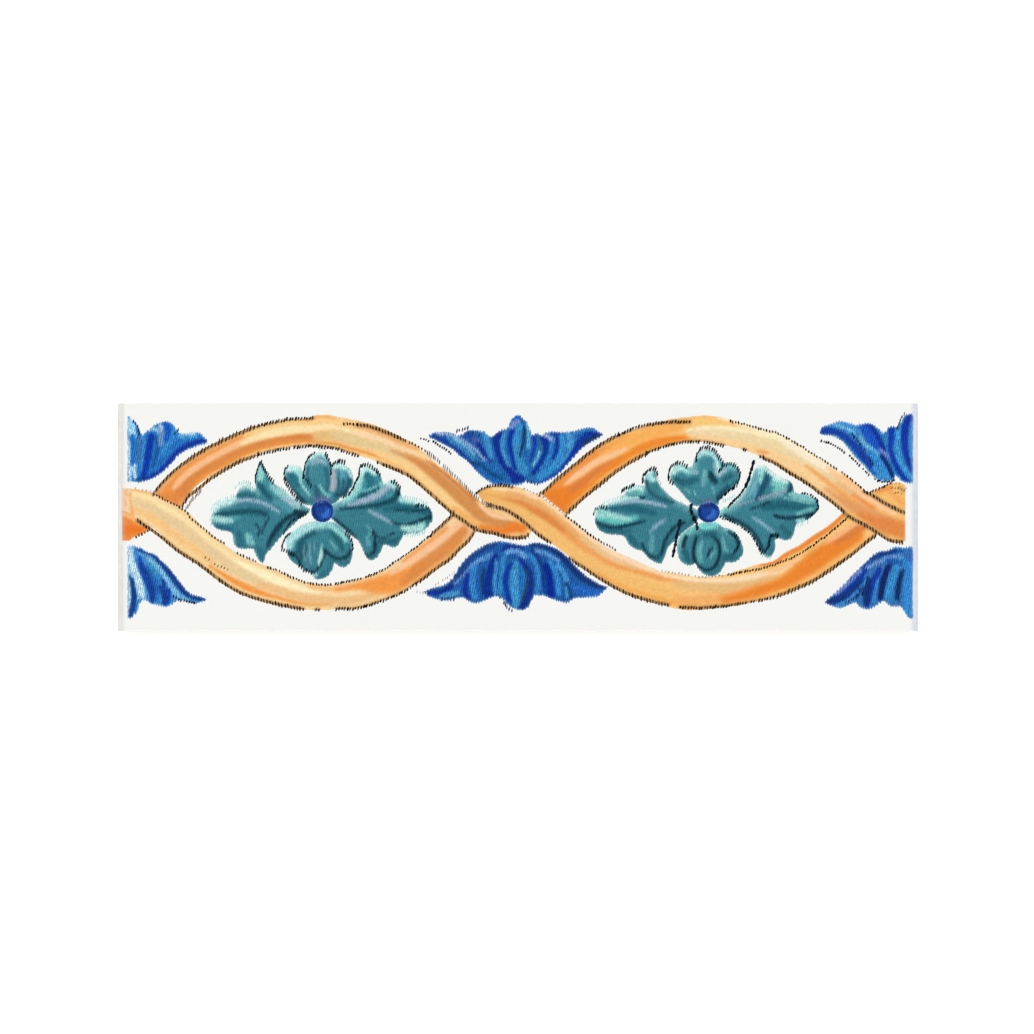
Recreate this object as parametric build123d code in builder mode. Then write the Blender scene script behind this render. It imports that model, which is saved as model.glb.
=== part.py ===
"""Border tile: a narrow glazed wall tile, pressed and fired as one piece.

Millimetres. The tile lies on its back with the painted face up. The origin is the centre of the
back, +X runs along the tile, +Y across it and +Z out of the painted face.
"""

import os
from math import radians, tan

from build123d import *

# The face, and the whole height from the back to the face
tile_length = 200.0
tile_width = 57.0
tile_thickness = 6.9

# Edges, from the face down
end_roll = 0.9  # the face rolls over at the two short ends, where the glaze thins
side_roll = 0.4  # the long edges are crisper
edge_land = 3.2  # upright band under the face, which faces the next tile across the joint
edge_lean = 3.0  # degrees that the edges lean in below the land, to let the joint fill
foot_bevel = 0.4  # bevel round the back, where the pressed clay leaves the die

# Back: a waffle of shallow pockets that keys the tile to its adhesive
key_columns = 14
key_rows = 4
key_depth = 0.5
key_rib = 1.6  # flat top of the ribs between the pockets, level with the back
key_margin = 5.0  # flat rim between the edge of the back and the outer pockets
key_draft = 30.0  # degrees that the pocket walls lean open
key_corner = 1.2  # corner radius at the pocket's mouth

lean_height = tile_thickness - edge_land
lean_inset = lean_height * tan(radians(edge_lean))
back_length = tile_length - 2 * lean_inset
back_width = tile_width - 2 * lean_inset

pocket_pitch_x = (back_length - 2 * key_margin + key_rib) / key_columns
pocket_pitch_y = (back_width - 2 * key_margin + key_rib) / key_rows

os.makedirs("parts", exist_ok=True)

with BuildPart() as border_tile:
    # Lower body: the edges lean out from the back up to the land
    with BuildSketch(Plane.XY) as back_outline:
        Rectangle(back_length, back_width)
    extrude(amount=lean_height, taper=-edge_lean)
    chamfer(border_tile.faces().sort_by(Axis.Z)[0].edges(), length=foot_bevel)

    # Land: upright up to the face
    with BuildSketch(Plane.XY.offset(lean_height)) as face_outline:
        Rectangle(tile_length, tile_width)
    extrude(amount=edge_land)

    # Face edges: a wider roll at the short ends than along the long sides
    face_edges = border_tile.faces().sort_by(Axis.Z)[-1].edges()
    end_edges = face_edges.filter_by(Axis.Y)
    fillet(end_edges, radius=end_roll)
    long_edges = border_tile.faces().sort_by(Axis.Z)[-1].edges().filter_by(Axis.X)
    fillet(long_edges, radius=side_roll)

    # Key pockets, open at the back and narrowing inwards
    with BuildSketch(Plane.XY) as pocket_mouths:
        with GridLocations(pocket_pitch_x, pocket_pitch_y, key_columns, key_rows):
            RectangleRounded(pocket_pitch_x - key_rib, pocket_pitch_y - key_rib, key_corner)
    extrude(amount=key_depth, taper=key_draft, mode=Mode.SUBTRACT)

border_tile.part.label = "border_tile"
export_step(border_tile.part, "parts/border_tile.step")
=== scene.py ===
# %% [markdown]
# # A border tile with painted ribbons
# The object is a narrow wall tile: a pressed slab of pale clay under an off-white glaze, with a
# border of orange ribbons, blue palmettes and sea-green rosettes printed and fired into its face.
# The clay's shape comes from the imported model. What Blender adds is the finish: the painting,
# the glaze, and the bare clay that shows where no glaze has run.

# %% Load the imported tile
import math

import bmesh
import bpy
import numpy as np
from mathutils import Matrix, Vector
from mathutils.geometry import delaunay_2d_cdt


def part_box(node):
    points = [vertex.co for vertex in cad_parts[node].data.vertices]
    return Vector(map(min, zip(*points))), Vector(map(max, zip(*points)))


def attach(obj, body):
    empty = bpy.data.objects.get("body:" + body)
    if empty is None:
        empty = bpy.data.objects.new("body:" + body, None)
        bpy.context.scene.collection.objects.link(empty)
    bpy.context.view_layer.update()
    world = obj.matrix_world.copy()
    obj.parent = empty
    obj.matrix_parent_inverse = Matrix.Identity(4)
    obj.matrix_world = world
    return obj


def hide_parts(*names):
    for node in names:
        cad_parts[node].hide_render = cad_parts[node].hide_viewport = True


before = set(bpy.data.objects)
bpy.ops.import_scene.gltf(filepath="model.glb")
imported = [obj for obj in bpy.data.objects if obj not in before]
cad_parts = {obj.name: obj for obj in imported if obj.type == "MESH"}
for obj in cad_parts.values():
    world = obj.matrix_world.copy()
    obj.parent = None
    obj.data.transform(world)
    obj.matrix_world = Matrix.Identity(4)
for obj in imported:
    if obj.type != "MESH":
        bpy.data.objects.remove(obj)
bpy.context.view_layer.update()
TILE = "border_tile"
MM = 0.001  # the ornament is drawn in millimetres, from the middle of the face
lowest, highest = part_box(TILE)
TOP = highest.z  # the height of the painted face, in metres
print("tile, mm:", [round(side / MM, 2) for side in highest - lowest])

# %% [markdown]
# ## Lines drawn from a few points
# The ornament is drawn the way that a painter would: outlines first, then strokes of a loaded
# brush inside them. An image texture would be quicker, but its pixels would blur close up, and
# a shader could only hold a few dozen strokes. Here each line is a handful of points with a
# smooth spline through them. A third number with a point is the brush's width there.


# %% Read the points of a line
def read_points(text):
    """Rows from 'x y width, x y, ...'; a width that is left out runs between its neighbours."""
    rows = [[float(number) for number in point.split()] for point in text.split(",")]
    wide = [i for i, row in enumerate(rows) if len(row) > 2]
    points = np.array([row[:2] for row in rows])
    if not wide:
        return points
    widths = np.interp(range(len(rows)), wide, [rows[i][2] for i in wide])
    return np.column_stack([points, widths])


# %% Draw a smooth line through them
def flowing(points, step):
    """A centripetal Catmull-Rom spline through every point, with a new point at every step."""
    before, after = 2 * points[0] - points[1], 2 * points[-1] - points[-2]
    row = np.vstack([before, points, after])
    made = []
    for a, b, c, d in zip(row, row[1:], row[2:], row[3:]):
        gaps = [math.dist(p[:2], q[:2]) ** 0.5 + 1e-6 for p, q in ((a, b), (b, c), (c, d))]
        t1, t2, t3 = np.cumsum(gaps)
        count = max(1, round(math.dist(b[:2], c[:2]) / step))
        t = np.linspace(t1, t2, count, endpoint=False)[:, None]
        ab = ((t1 - t) * a + t * b) / t1
        bc = ((t2 - t) * b + (t - t1) * c) / (t2 - t1)
        cd = ((t3 - t) * c + (t - t2) * d) / (t3 - t2)
        abc = ((t2 - t) * ab + t * bc) / t2
        bcd = ((t3 - t) * bc + (t - t1) * cd) / (t3 - t1)
        made.append(((t2 - t) * abc + (t - t1) * bcd) / (t2 - t1))
    return np.vstack([*made, points[-1:]])


# %% Close smooth runs into an outline
OUTLINE_STEP = 0.24
SAME_PLACE = 0.02  # points of an outline that lie closer than this are one


def wound_left(loop):
    """The loop, running anticlockwise and without its doubled points."""
    loop = loop[np.linalg.norm(loop - np.roll(loop, 1, axis=0), axis=1) > SAME_PLACE]
    x, y = loop.T
    return loop if np.sum(x * np.roll(y, -1) - y * np.roll(x, -1)) > 0 else loop[::-1]


def outline(text):
    """A closed outline of smooth runs, which are divided by '/' and meet at corners."""
    runs = [flowing(read_points(run), OUTLINE_STEP) for run in text.split("/")]
    loop = []
    for run, after in zip(runs, runs[1:] + runs[:1]):
        loop.append(run)
        gap = math.dist(run[-1], after[0])
        shares = np.linspace(0, 1, max(2, round(gap / OUTLINE_STEP) + 1))[1:-1, None]
        loop.append(run[-1] + shares * (after[0] - run[-1]))
    return wound_left(np.vstack(loop))


# %% [markdown]
# ## The teeth of the print
# The blues and greens were printed through a screen of slanting wires, so their edges aren't
# clean: they end in a comb of short, nearly upright teeth. Pushing an outline up and down by a
# wave that runs along the tile gives the same comb, and costs no extra points.

# %% Fray an edge
TOOTH_PITCH = 0.66
TOOTH_LEAN = 0.2  # the wires lean this far over for each millimetre up
TOOTH_COUNT = 700  # teeth of a length of their own, before the lengths come round again
SHORTEST_TOOTH = 0.25  # as a share of the longest


def teeth(points, seed):
    """A wave from -1 to 1 along the tile, with teeth of uneven length."""
    along = (points[:, 0] - TOOTH_LEAN * points[:, 1]) / TOOTH_PITCH
    lengths = np.random.default_rng(seed).uniform(SHORTEST_TOOTH, 1, TOOTH_COUNT)
    return np.sin(2 * math.pi * along) * lengths[np.floor(along).astype(int) % TOOTH_COUNT]


def frayed(loop, depth, seed):
    """The loop with its edge pushed up and down by the teeth of the print."""
    return loop + np.column_stack([np.zeros(len(loop)), depth / 2 * teeth(loop, seed)])


# %% [markdown]
# ## Motifs
# A motif is an outline, a ground colour and the strokes laid over it, last on top. Each stroke
# is written on a line of its own: its colour as red, green and blue from 0 to 255, then '>' and
# its points. A line that ends in a comma goes on in the next one. The rim of a print is paler,
# because less colour passes there.

# %% Read the strokes of a brush
STROKE_STEP = 0.5


def lines_of(text):
    """The lines of a text, of which one that ends in a comma goes on in the next."""
    return text.strip().replace(",\n", ",").splitlines()


def brush_strokes(text, place=None):
    """(colour, smooth line with widths) for every line of text, put in its place on the tile."""
    strokes = []
    for line in lines_of(text):
        colour, points = line.split(">")
        smooth = flowing(read_points(points), STROKE_STEP)
        if place:
            smooth = np.column_stack([place(smooth), smooth[:, 2]])
        strokes.append((np.array([float(part) for part in colour.split()]), smooth))
    return strokes


# %% Keep every motif in painting order
motifs = []


def paint_motif(
    name, shape, ground, strokes, comb, fray=0, rim=0.38, soft=1.0, milk=None, place=None
):
    """Adds a motif. Its shape is an outline's text, or a loop that is frayed already. Comb is how
    strongly the screen shows, fray the length of the edge's teeth, rim the width of its paler
    border, soft how softly its strokes end, and milk the colours of the edges that face the
    light and that face away from it. Place turns the strokes' points into x and y."""
    loop = frayed(outline(shape), fray, seed=len(motifs)) if isinstance(shape, str) else shape
    motif = {
        "name": name,
        "loop": loop,
        "ground": np.array(ground, float),
        "strokes": brush_strokes(strokes, place),
        "comb": comb,
        "rim": rim,
        "soft": soft,
        "milk": milk,
        "seed": len(motifs),
    }
    motifs.append(motif)
    print(name, "outline points:", len(loop), "strokes:", len(motif["strokes"]))
    return motif


# %% [markdown]
# ## Palmettes
# A palmette is a fan of leaves. Two whole ones stand in the hollows where the ribbons cross, and
# half ones fill the four corners, to be finished by the next tile. Each is painted in blues that
# run from navy along one side of a leaf to a milky sky blue on the other.

# %% Upper middle palmette
PALMETTE = {"comb": 0.32, "fray": 0.75}
paint_motif(
    "palmette_upper_middle",
    """
-22.5 20.2, -21.5 21, -20.5 21.3, -19.5 21.3, -18 21.4, -17 21.2, -16 20.9, -15.3 20.5, -13.8 20.9,
-13 21.5, -12.3 21.8, -11 21.8, -9.7 21.7, -9 21.5, -8.3 21.6, -8 21, -6.8 20.2 / -6.3 20.3,
-5.5 21, -4.8 21.5, -4 21.9, -3 22.1, -2.4 22.6, -2.2 23.5, -1.7 24.5, -1 25.1, -.5 25.5, 0 25.6,
.5 25.5, 1 25, 1.6 24.4, 2.2 23.9, 2.6 23, 3 22, 3.3 21.2, 3.5 20.7, 4 20.7 / 4.5 21, 5 21.1,
5.3 20.8, 5.7 20.6, 6 20.5, 6.5 21, 7.5 21.3, 8.5 21.5, 9.5 21.4, 10.5 21.3, 12 21.4, 14 21.6,
15 21.9, 16 22.2, 17 22.4, 18 22.5, 19 22.3, 20 21.5, 21 21, 21.3 20.7 / 20.5 20, 19.5 19.4,
18 18.6, 17 18, 16 17.2, 15 16.2, 14 15, 13 13.9, 12 12.8, 11 11.6, 10 10.8, 9 10, 8 9.4, 7 8.9,
6 8.5, 5 8.3, 4 8.4, 3 8.6, 2.2 8.9, 1.5 8.6, .5 8.1, 0 8, -1 8, -3 8.1, -5.5 8.1, -6.5 8.4,
-7.5 9, -8.5 9.8, -9.5 10.6, -10.5 11.6, -11.5 12.7, -12.5 13.8, -13.5 14.6, -15 15.7, -16 16.7,
-17.5 17.6, -19 18.4, -20.5 19.2, -22 19.9
""",
    (38, 102, 170),
    """
25 60 150 > -21.5 20 1.6, -18 18.7, -15 16.5, -12.5 14.2, -11 12.3 1.6
54 130 180 > -17 19.3 1.2, -14 17.5, -12 15.5, -10.5 14 1.2
150 170 205 > -20 21 .8, -17.5 20.8, -15.5 20, -13.5 19, -12 18, -10.5 16.8, -9 15, -7 14 .5
117 177 212 > -16 19.7 .7, -13 17.8, -11 15.8 .7
30 70 150 > -13.3 20.7 1.8, -12 20.5, -11.5 19.5 1.8
80 90 160 > -11 19.5 1.2, -9.5 18 1.2
25 50 140 > -10 18.5 1.1, -9 17, -8 15.5, -7 14.3 1.1
63 140 198 > -8.3 20.8 1.6, -7.8 19, -7.3 17, -6.8 15.5 1.6
20 45 140 > -4.5 21 2, -5.5 19.5, -5.3 17.5 1.5, -4.7 15.5, -3.8 13.8, -2.5 12, -1.2 10.5, 0 9.5 1.8
63 140 194 > -3.4 21 1, -3.8 19, -3.8 17, -3.2 15, -2.3 13 1
58 140 194 > 0 23 2.2, -.5 20, -.4 17.5, 0 15, .8 13, 1.5 11.5 2.2
15 50 150 > -1.3 21.8 1.3, -1.9 20, -2 18, -1.8 16.5, -1.4 15, -1.2 13.7, -.7 12.2 .8
120 140 205 > -1.6 22.6 1.2, -.8 23.7, 0 24.2 1.2
25 90 180 > -.5 25.1 1.1, .5 25.1 1.1
20 60 90 > 1.7 22.3 .9, 1.6 21, 1.4 19, 1 17.3, .6 16, .5 15.3 .5
90 167 207 > 2.3 23.3 .9, 2.6 21.5, 2.7 19.5, 2.6 17.5 .9
25 60 160 > 4 20 1.1, 4.3 18.5, 3.9 17, 3.5 15.5, 3.1 14 .5
50 110 130 > 5 21 .6, 5.5 19.5, 5.8 18, 5.6 16 .6
108 177 207 > 5.4 16.5 .7, 5 15.2, 4.3 14, 3.8 13 .7
15 50 145 > 6.3 19.8 1.8, 7 18.3, 7 16.5, 6.3 14.7, 5.2 12.8, 4 11.2 1.2
150 175 220 > 6.3 20.7 .9, 7.8 20, 8.5 19.3, 9.8 19 .9
20 55 150 > 8.5 21.2 .9, 10.3 21 .9
20 55 150 > 9.8 20 1.1, 9.6 17.5, 9.2 16, 8.7 15 1.1
45 126 194 > 8.5 18.5 1.2, 8.2 16.5, 7.7 15, 7 13.5, 6 11.5, 5 10.3 1.6
54 140 202 > 11 20 1.5, 11.3 18, 10.8 16, 9.8 14, 8.5 12.3, 7 10.8, 5.5 9.8 1.5
81 158 212 > 12.3 21 1.2, 13 19.5, 12.6 17.5 1.2
20 50 150 > 20.5 20.7 2.4, 18.5 20.8, 17 20, 15.5 18.3 2.2, 14.2 16.3, 13 14.3, 11.5 12.3 1.6,
    10 10.8, 8 9.6, 6 8.9 .8
30 55 90 > 20 20.3 1.2, 18.3 19.5, 16.5 18.2 1.2
54 121 189 > 14 21.2 .8, 15.5 21.6, 17 22, 19 21.8 .8
63 140 198 > 13.7 20.3 .9, 13.5 18, 12.5 16, 11.3 14.3, 10 12.8 .9
20 50 140 > -1 9.3 1.6, 0 10.3, 1 9.5 1.6
36 102 180 > -10 11.7 .9, -8.5 10.3, -6.5 9, -4.5 8.5, -2 8.5 .9
20 75 130 > -10.8 13.8 1.1, -9 12.8, -7.5 11.5, -6 10.5, -4 9.8 1.1
""",
    **PALMETTE,
)

# %% Lower middle palmette
paint_motif(
    "palmette_lower_middle",
    """
-23.6 -18.7, -22.5 -18, -20.5 -17.4, -19 -17, -18 -16.5, -17 -15.8, -16 -14.6, -15.3 -13.3,
-14.5 -12, -13.5 -10.8, -12.5 -9.7, -11 -8.5, -9.5 -7.5, -8 -6.7, -6.5 -6.2, -5 -5.9, -3.5 -6,
-2 -6.3, -.5 -6.6, 1 -6.9, 2 -6.9, 3 -6.5, 4 -6.3, 5 -6.3, 6.5 -6.6, 8 -7.1, 9.5 -7.7, 11 -8.7,
12.3 -9.8, 13.5 -11.1, 14.7 -12.4, 16 -13.7, 17.5 -14.9, 19 -15.8, 21 -16.9, 22.5 -17.3 /
21.5 -18.5, 20 -19.7, 18 -20, 16 -20.1, 14.5 -20.2, 13.8 -20.4, 13 -21, 12.2 -21.4, 11 -21.2,
9 -20.6, 7 -19.8, 6.2 -19.5, 5.5 -19.6, 4.2 -19.5 / 3.8 -20, 3.4 -20.8, 3 -21.8, 2.3 -22.7,
1.5 -23.1, .5 -23.2, -.5 -23, -1.5 -22.6, -2.3 -22.1, -3 -21.4, -3.6 -20.7, -4.2 -20.1, -5 -19.8 /
-6 -19.8, -7 -20.2, -9 -21.1, -10.5 -21.5, -11.5 -21.3, -12.5 -20.9, -13.3 -20.3, -14 -20 /
-15.7 -20.3, -17.5 -20.8, -19 -20.7, -20.5 -20.4, -22.5 -19.7
""",
    (34, 90, 162),
    """
30 65 130 > -22.5 -18.7 1.4, -20 -18.5, -18 -17.8, -16.5 -16.6, -15 -14.5, -13.5 -12.3, -12 -10.5,
    -10 -8.8, -8 -7.5, -6 -6.7 1.4
99 130 189 > -16 -16.8 .7, -14.5 -15.3, -13 -13.8, -12 -12.5 .7
99 153 212 > -11.5 -12 1, -10.5 -11.3, -9 -10.3, -7.5 -9.8, -6.3 -9.3 1
20 45 140 > -22 -19 1, -19.5 -18.8, -18 -18.2, -16.5 -17.3 1
72 149 198 > -19 -19.8 1.2, -15 -18.8 1.2
20 50 145 > -12.5 -14.5 1.3, -13 -16.5, -13.2 -18.5, -12.5 -20 1.3
54 130 198 > -11 -12.7 1.6, -11.3 -15, -11.3 -17.5, -10.8 -20 1.6
25 60 100 > -8.5 -13 .8, -9 -15, -9 -17, -8.6 -19 .8
15 45 135 > -5.7 -9.8 1.5, -6.3 -11.5, -7 -13.5, -7.5 -15.5, -7.8 -17.5, -7.3 -19.5 2.2
63 140 198 > -5.5 -11 .9, -5.5 -13, -5.8 -15, -5.8 -17, -5.5 -19 .9
20 70 120 > -4.5 -12.5 .4, -4.7 -14, -5 -16.5 .4
54 130 194 > -3 -9 1.3, -3.8 -11, -4 -13.5, -4.3 -16, -4.3 -18.5 1.3
63 144 198 > -.8 -12 2.3, -.9 -14.5, -.9 -17, -.6 -19.5, -.4 -21.5 2.3
108 163 216 > -2.5 -8.5 1.2, -1 -8.3, .5 -8.8, 1.8 -9.8 1.2
15 55 150 > -1.5 -11.5 .9, -2.5 -13, -3.1 -15 1.3, -3.1 -17, -2.7 -19, -1.9 -21 .9
40 112 184 > 1 -12.5 1.2, 1.4 -14.5, 1.3 -17, .8 -19.5 1.2
20 45 130 > .8 -10.7 .9, 1.8 -12, 2.6 -13.7 1.6, 3 -15.5, 2.9 -17.5 1.9, 2.5 -19.5, 1.6 -21.5,
    .9 -22.5 1.7
40 70 100 > 1.9 -13 .7, 2.4 -15, 2.2 -17, 1.6 -19, .9 -21 .7
54 130 198 > 3 -9.5 1.2, 4.2 -11, 4.8 -13, 5.1 -15, 5 -17.5, 4.8 -19 1.2
20 60 130 > 3.5 -8.2 .9, 5 -10, 5.9 -12, 6.3 -14, 6.4 -16, 6.8 -18.5 .9
54 135 202 > 8 -11 1.2, 9.3 -13.5, 10 -16, 10.2 -19 1.2
10 40 140 > 7 -12 1.5, 7.7 -14.5, 8 -17, 8.3 -19.3 1.9
99 153 212 > 4.5 -8.3 .9, 6 -8.6, 7.5 -9.3, 9 -10.2, 10 -10.8 .9
72 149 205 > 10 -12 1.2, 11.5 -14, 12.2 -16, 12.5 -19.5 1.2
20 60 110 > 12.2 -16.5 .9, 12.9 -18, 13.2 -19.8 .9
25 50 110 > 3.5 -6.7 1, 6 -7, 8.5 -7.9 1.3, 10.5 -9.2, 12.5 -11 1.9, 14.5 -13.3 2.2, 16.5 -15 2.2,
    19 -16.5 1.8, 21.5 -17.4 1
36 102 189 > 14 -17.5 2, 17 -18.7, 20 -19 2
20 50 130 > -3.8 -8.2 1, -2.5 -7.3, -.5 -7.2, 1 -7.4 1
""",
    **PALMETTE,
)

# %% Upper left half palmette
paint_motif(
    "palmette_upper_left",
    """
-97.6 9, -97.6 13, -97.6 17, -97.6 21, -97.5 25.4 / -96.8 25, -96 24.3, -95.3 23.5, -94.7 22.5,
-94.4 21.5, -93.8 20.6 / -93 21.3, -92.3 21.8, -91.5 22.5, -90.7 23.2, -90 23.5, -89 23.8, -88 24,
-87 23.8, -86.2 23.3, -85.6 22.5, -85.2 21.8, -84.8 21.2 / -84.3 21, -83 21.1, -81.5 21.2,
-80 21.2, -79.2 21, -78.7 20.4, -78 19.8, -77.6 19.2 / -77.8 18.4, -78.5 18.2, -79.5 18, -81 17.4,
-82.5 16.9, -84 16, -85 15.3, -86 14, -87 13, -88 11.9, -89 11.1, -90 10.4, -91 9.8, -92 9.4,
-93 9.1, -94 8.8, -95 8.7, -96 8.9
""",
    (40, 114, 192),
    """
165 220 250 > -96.8 24 2, -96.5 22, -96.3 20.8 2
30 110 190 > -96.3 20.3 1.2, -96 18.8, -96.1 16.8, -96.3 14.8, -96.2 13.5 .8
70 115 160 > -94.6 20 .9, -94.6 18, -94.9 16, -95 14.3 .9
190 225 250 > -97.2 19 .9, -97.3 15, -97.2 11, -97 9.5 .9
190 225 250 > -95.6 13 .9, -95.8 11.5, -95.6 10 .9
190 225 250 > -96.5 12.5 .6, -96.8 10.5 .6
63 140 202 > -93.8 20 .8, -93.3 18.3, -93.8 15, -94 12.5, -94.3 10.5 .8
15 55 160 > -91.5 20.2 1.7, -92 18, -92.4 15.5 1.8, -92.8 13, -93.4 11, -94 9.8 1.3
25 85 140 > -90.3 20 .8, -90 17.5, -90.5 15, -91.3 12.5 .8
135 191 220 > -91.8 22 1, -90.7 22.3, -90 21.6 1
110 145 190 > -89.3 22.3 1.5, -89 21, -89.2 19.5, -89.3 18.3 1.3
170 195 220 > -89.3 22.8 1, -89.1 21.8 .8
25 85 190 > -88 23.3 1.4, -87.3 22, -87.2 20.8, -87.7 19.8 1.4
54 135 202 > -86 21.5 1.3, -86.5 19.5, -87.5 18, -88.8 16.5, -88.3 15.3 1.3
81 158 212 > -84.5 20.3 1.2, -82.5 20.4, -80.5 20.6 1.2
190 225 250 > -84 21 .6, -81 21 .6
25 50 150 > -78.2 19.1 1.2, -80 18.8, -82 18.1, -84 17, -85.5 15.6 1.6, -87 13.9, -88.5 12.3,
    -90 11, -92 10, -94 9.3 1
36 107 184 > -88.8 15 .9, -89.5 13, -90.5 11.5 .9
20 75 130 > -95 9.3 .8, -93.2 9.2 .8
""",
    **PALMETTE,
)

# %% Lower left half palmette
paint_motif(
    "palmette_lower_left",
    """
-97.6 -7.2, -96.5 -7, -95.5 -7.2, -94.8 -7.6, -94.3 -7.4, -93.5 -8, -92.5 -8.6, -91.5 -8.9,
-90.7 -9.2, -90 -9.6, -89.5 -10.4, -88.8 -11, -87.8 -11.8, -86.9 -12.8, -86 -14, -85 -15.3,
-84 -16.6, -83 -17.9, -82 -18.8, -81 -19.3, -79.8 -19.6, -78.6 -20, -77.8 -20.4 / -77.9 -20.8,
-79 -21.1, -80.6 -21.6, -81.6 -21.4, -82.5 -21.2, -83.5 -20.9, -84.5 -20.8, -85.4 -21, -86.2 -21.6,
-87 -22.1, -88 -22.4, -89 -22.2, -91 -21.8, -91.8 -21.6, -92.5 -21, -93.2 -20.7, -94 -20.9 /
-94.6 -21.8, -94.8 -23, -95.2 -23.8, -96 -24.6, -96.6 -25.2, -97.5 -25.3 / -97.6 -22, -97.6 -17,
-97.6 -12
""",
    (66, 136, 200),
    """
170 215 248 > -96.8 -8 1.6, -97 -11, -97 -15, -97 -19, -97.2 -22.5 1.6
135 191 220 > -95.8 -12 1, -95.6 -15, -95.2 -18, -94.9 -20 1
20 65 150 > -96.2 -15.5 .8, -96.2 -17.5, -95.8 -19 1.2, -95.9 -21, -96.1 -23, -96.8 -24.6 .9
99 167 212 > -94.3 -9.2 .9, -92.5 -9.5, -91 -10.4, -89.7 -12, -88.5 -13.5, -87 -15, -85.8 -16.7,
    -84.8 -18.3 .9
20 55 140 > -95 -7.8 .8, -93 -8.8, -91 -9.5, -90 -10.2, -88.5 -11.7 .7, -87 -13.3, -85.5 -15.2 1.1,
    -84 -17, -82.7 -18.6 1.6, -81 -19.6, -79.3 -20.2, -78 -20.5 .9
54 140 180 > -92 -11 1.6, -91 -13, -89.8 -14.8 1.6
25 75 175 > -94.5 -10 .9, -94.2 -12, -93.3 -14 2, -92.3 -16, -91.3 -18 2.2, -91 -20.3 1.5
15 50 150 > -92 -17 1, -91 -19.5 1
81 158 212 > -94 -17 .9, -93.6 -19, -93.2 -20 .9
45 116 184 > -90 -15 1.2, -89.8 -18, -90 -21 1.2
25 60 140 > -88.7 -15.5 .9, -88.3 -17.5, -88 -19.5, -88.3 -21.6 1.3
20 60 160 > -87.2 -18 .9, -87.2 -20, -87.5 -21.3 .9
99 167 212 > -86 -17.5 1.2, -85.3 -19, -84 -20, -82.5 -20.5 1.2
24 60 130 > -91 -9.7 .9, -88.8 -11.9 1.1, -86.7 -14.5 1.3, -84.6 -17.2 1.5, -82.4 -19.2 1.5,
    -79.4 -20.4 1.1
124 180 220 > -92.6 -10.2 .8, -90.2 -12.2 1, -88.2 -14.9 1, -86.6 -17.3 1, -85 -19.3 .9
34 96 172 > -92.9 -12.6 1.4, -91.4 -15.4 1.6, -90.2 -18.4 1.4
24 62 144 > -94.2 -11.5 1, -92.6 -15 1.4, -91.4 -18.6 1.6, -91.4 -20.8 1.2
24 62 142 > -89.2 -17.4 1, -88.4 -19.4 1.4, -88.2 -21.4 1.2
196 224 238 > -97 -8.6 1, -96.4 -11 1.4, -95.4 -14 1.6, -94.4 -17 1.8, -93.7 -19.8 1.2
150 196 226 > -97.2 -12 .8, -97.4 -16 .8, -97.5 -20 .6
26 62 130 > -97 -14.6 .6, -96.3 -17 1, -96 -20 1.3, -96.6 -23.4 1.2
""",
    **PALMETTE,
)

# %% Upper right half palmette
paint_motif(
    "palmette_upper_right",
    """
75.3 21, 75.4 21.8, 75.9 22.5, 76.6 22.9, 77.5 23.2, 78.5 23.5, 79.5 23.9, 80.5 24.1, 81.7 23.9,
82.8 23.6, 83.8 23.3, 84.5 23.1, 85.3 23.3, 86.2 23.4, 87.2 23.6, 88 23.5, 88.9 23.1, 89.7 22.5,
90.4 21.9, 91 21.4, 91.6 21.3 / 91.9 21.7, 92.4 22.4, 93 22.7, 93.8 22.8, 94.5 22.6, 95 22.8,
95.4 23.5, 96 24.6, 96.6 25.4, 97.3 25.8, 98.2 25.9, 98.8 25.6 / 98.8 24, 98.75 22, 98.7 16,
98.75 12, 98.7 9.5, 98.6 8.6 / 98 8.4, 97 8.6, 96 8.9, 95.3 9.5, 94.6 10.2, 94.2 10.6 / 93.9 9,
93 9.2, 92.3 8.8, 91.3 9, 90.3 9.2, 89.3 9.8, 88.6 10.3, 88 11, 87.2 11.8, 86.5 12.8, 85.5 13.7,
84.6 14.6, 83.7 15.6, 82.9 16.7, 82 17.7, 81.2 18.8, 80 19.6, 79 20.1, 78 20.4, 77 20.5, 75.8 20.6
""",
    (50, 122, 184),
    """
63 140 207 > 78 22.9 1.2, 80 23.5, 82 23.2, 84 22.3, 85.3 21.2 1.2
108 177 216 > 79.5 23 .8, 81 22.6, 82.5 22, 84 21.3 .8
25 60 160 > 76 21.6 1.8, 78 21.6, 80 21, 82 19.8 1.6, 84 17.9, 86 15.6 2, 88 13, 89.5 11.2 1.2
30 80 190 > 86.5 22.8 2.4, 87.5 21, 88.8 19, 90 17.3 2.4
20 50 150 > 88 23 1.2, 89.3 21, 90.5 19, 91.3 17 1.2
108 177 216 > 85.5 20 1, 87 18, 88.7 16.8, 90 15.5 1
54 140 207 > 88.5 16 1.6, 90 14, 91.5 12, 93 10.3 1.6
63 149 212 > 89 12.3 1.2, 90.5 10.7, 92.5 9.9 1.2
120 130 200 > 90.3 17 .8, 91.5 16, 93 15 .8
20 40 110 > 90.8 15.3 1.1, 91.8 14, 92.8 12, 93.6 10.2 1.1
20 55 165 > 93.3 22 1.6, 93.2 19.5, 93 17 1.2, 93.8 14.5, 95 12 1.4, 96.3 10, 97.5 9 1.2
63 149 207 > 95 21.5 1.2, 94.8 18, 95 15, 96 13, 97.3 11, 98 10 1.2
20 50 160 > 98 25.3 1.6, 97.2 24, 96.6 21.5 1.8, 96.5 19, 96.8 16.5, 97.5 14, 98.2 12 1
54 135 202 > 98.4 22.5 .9, 98.3 19, 98.2 15.5 .9
""",
    **PALMETTE,
)

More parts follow.
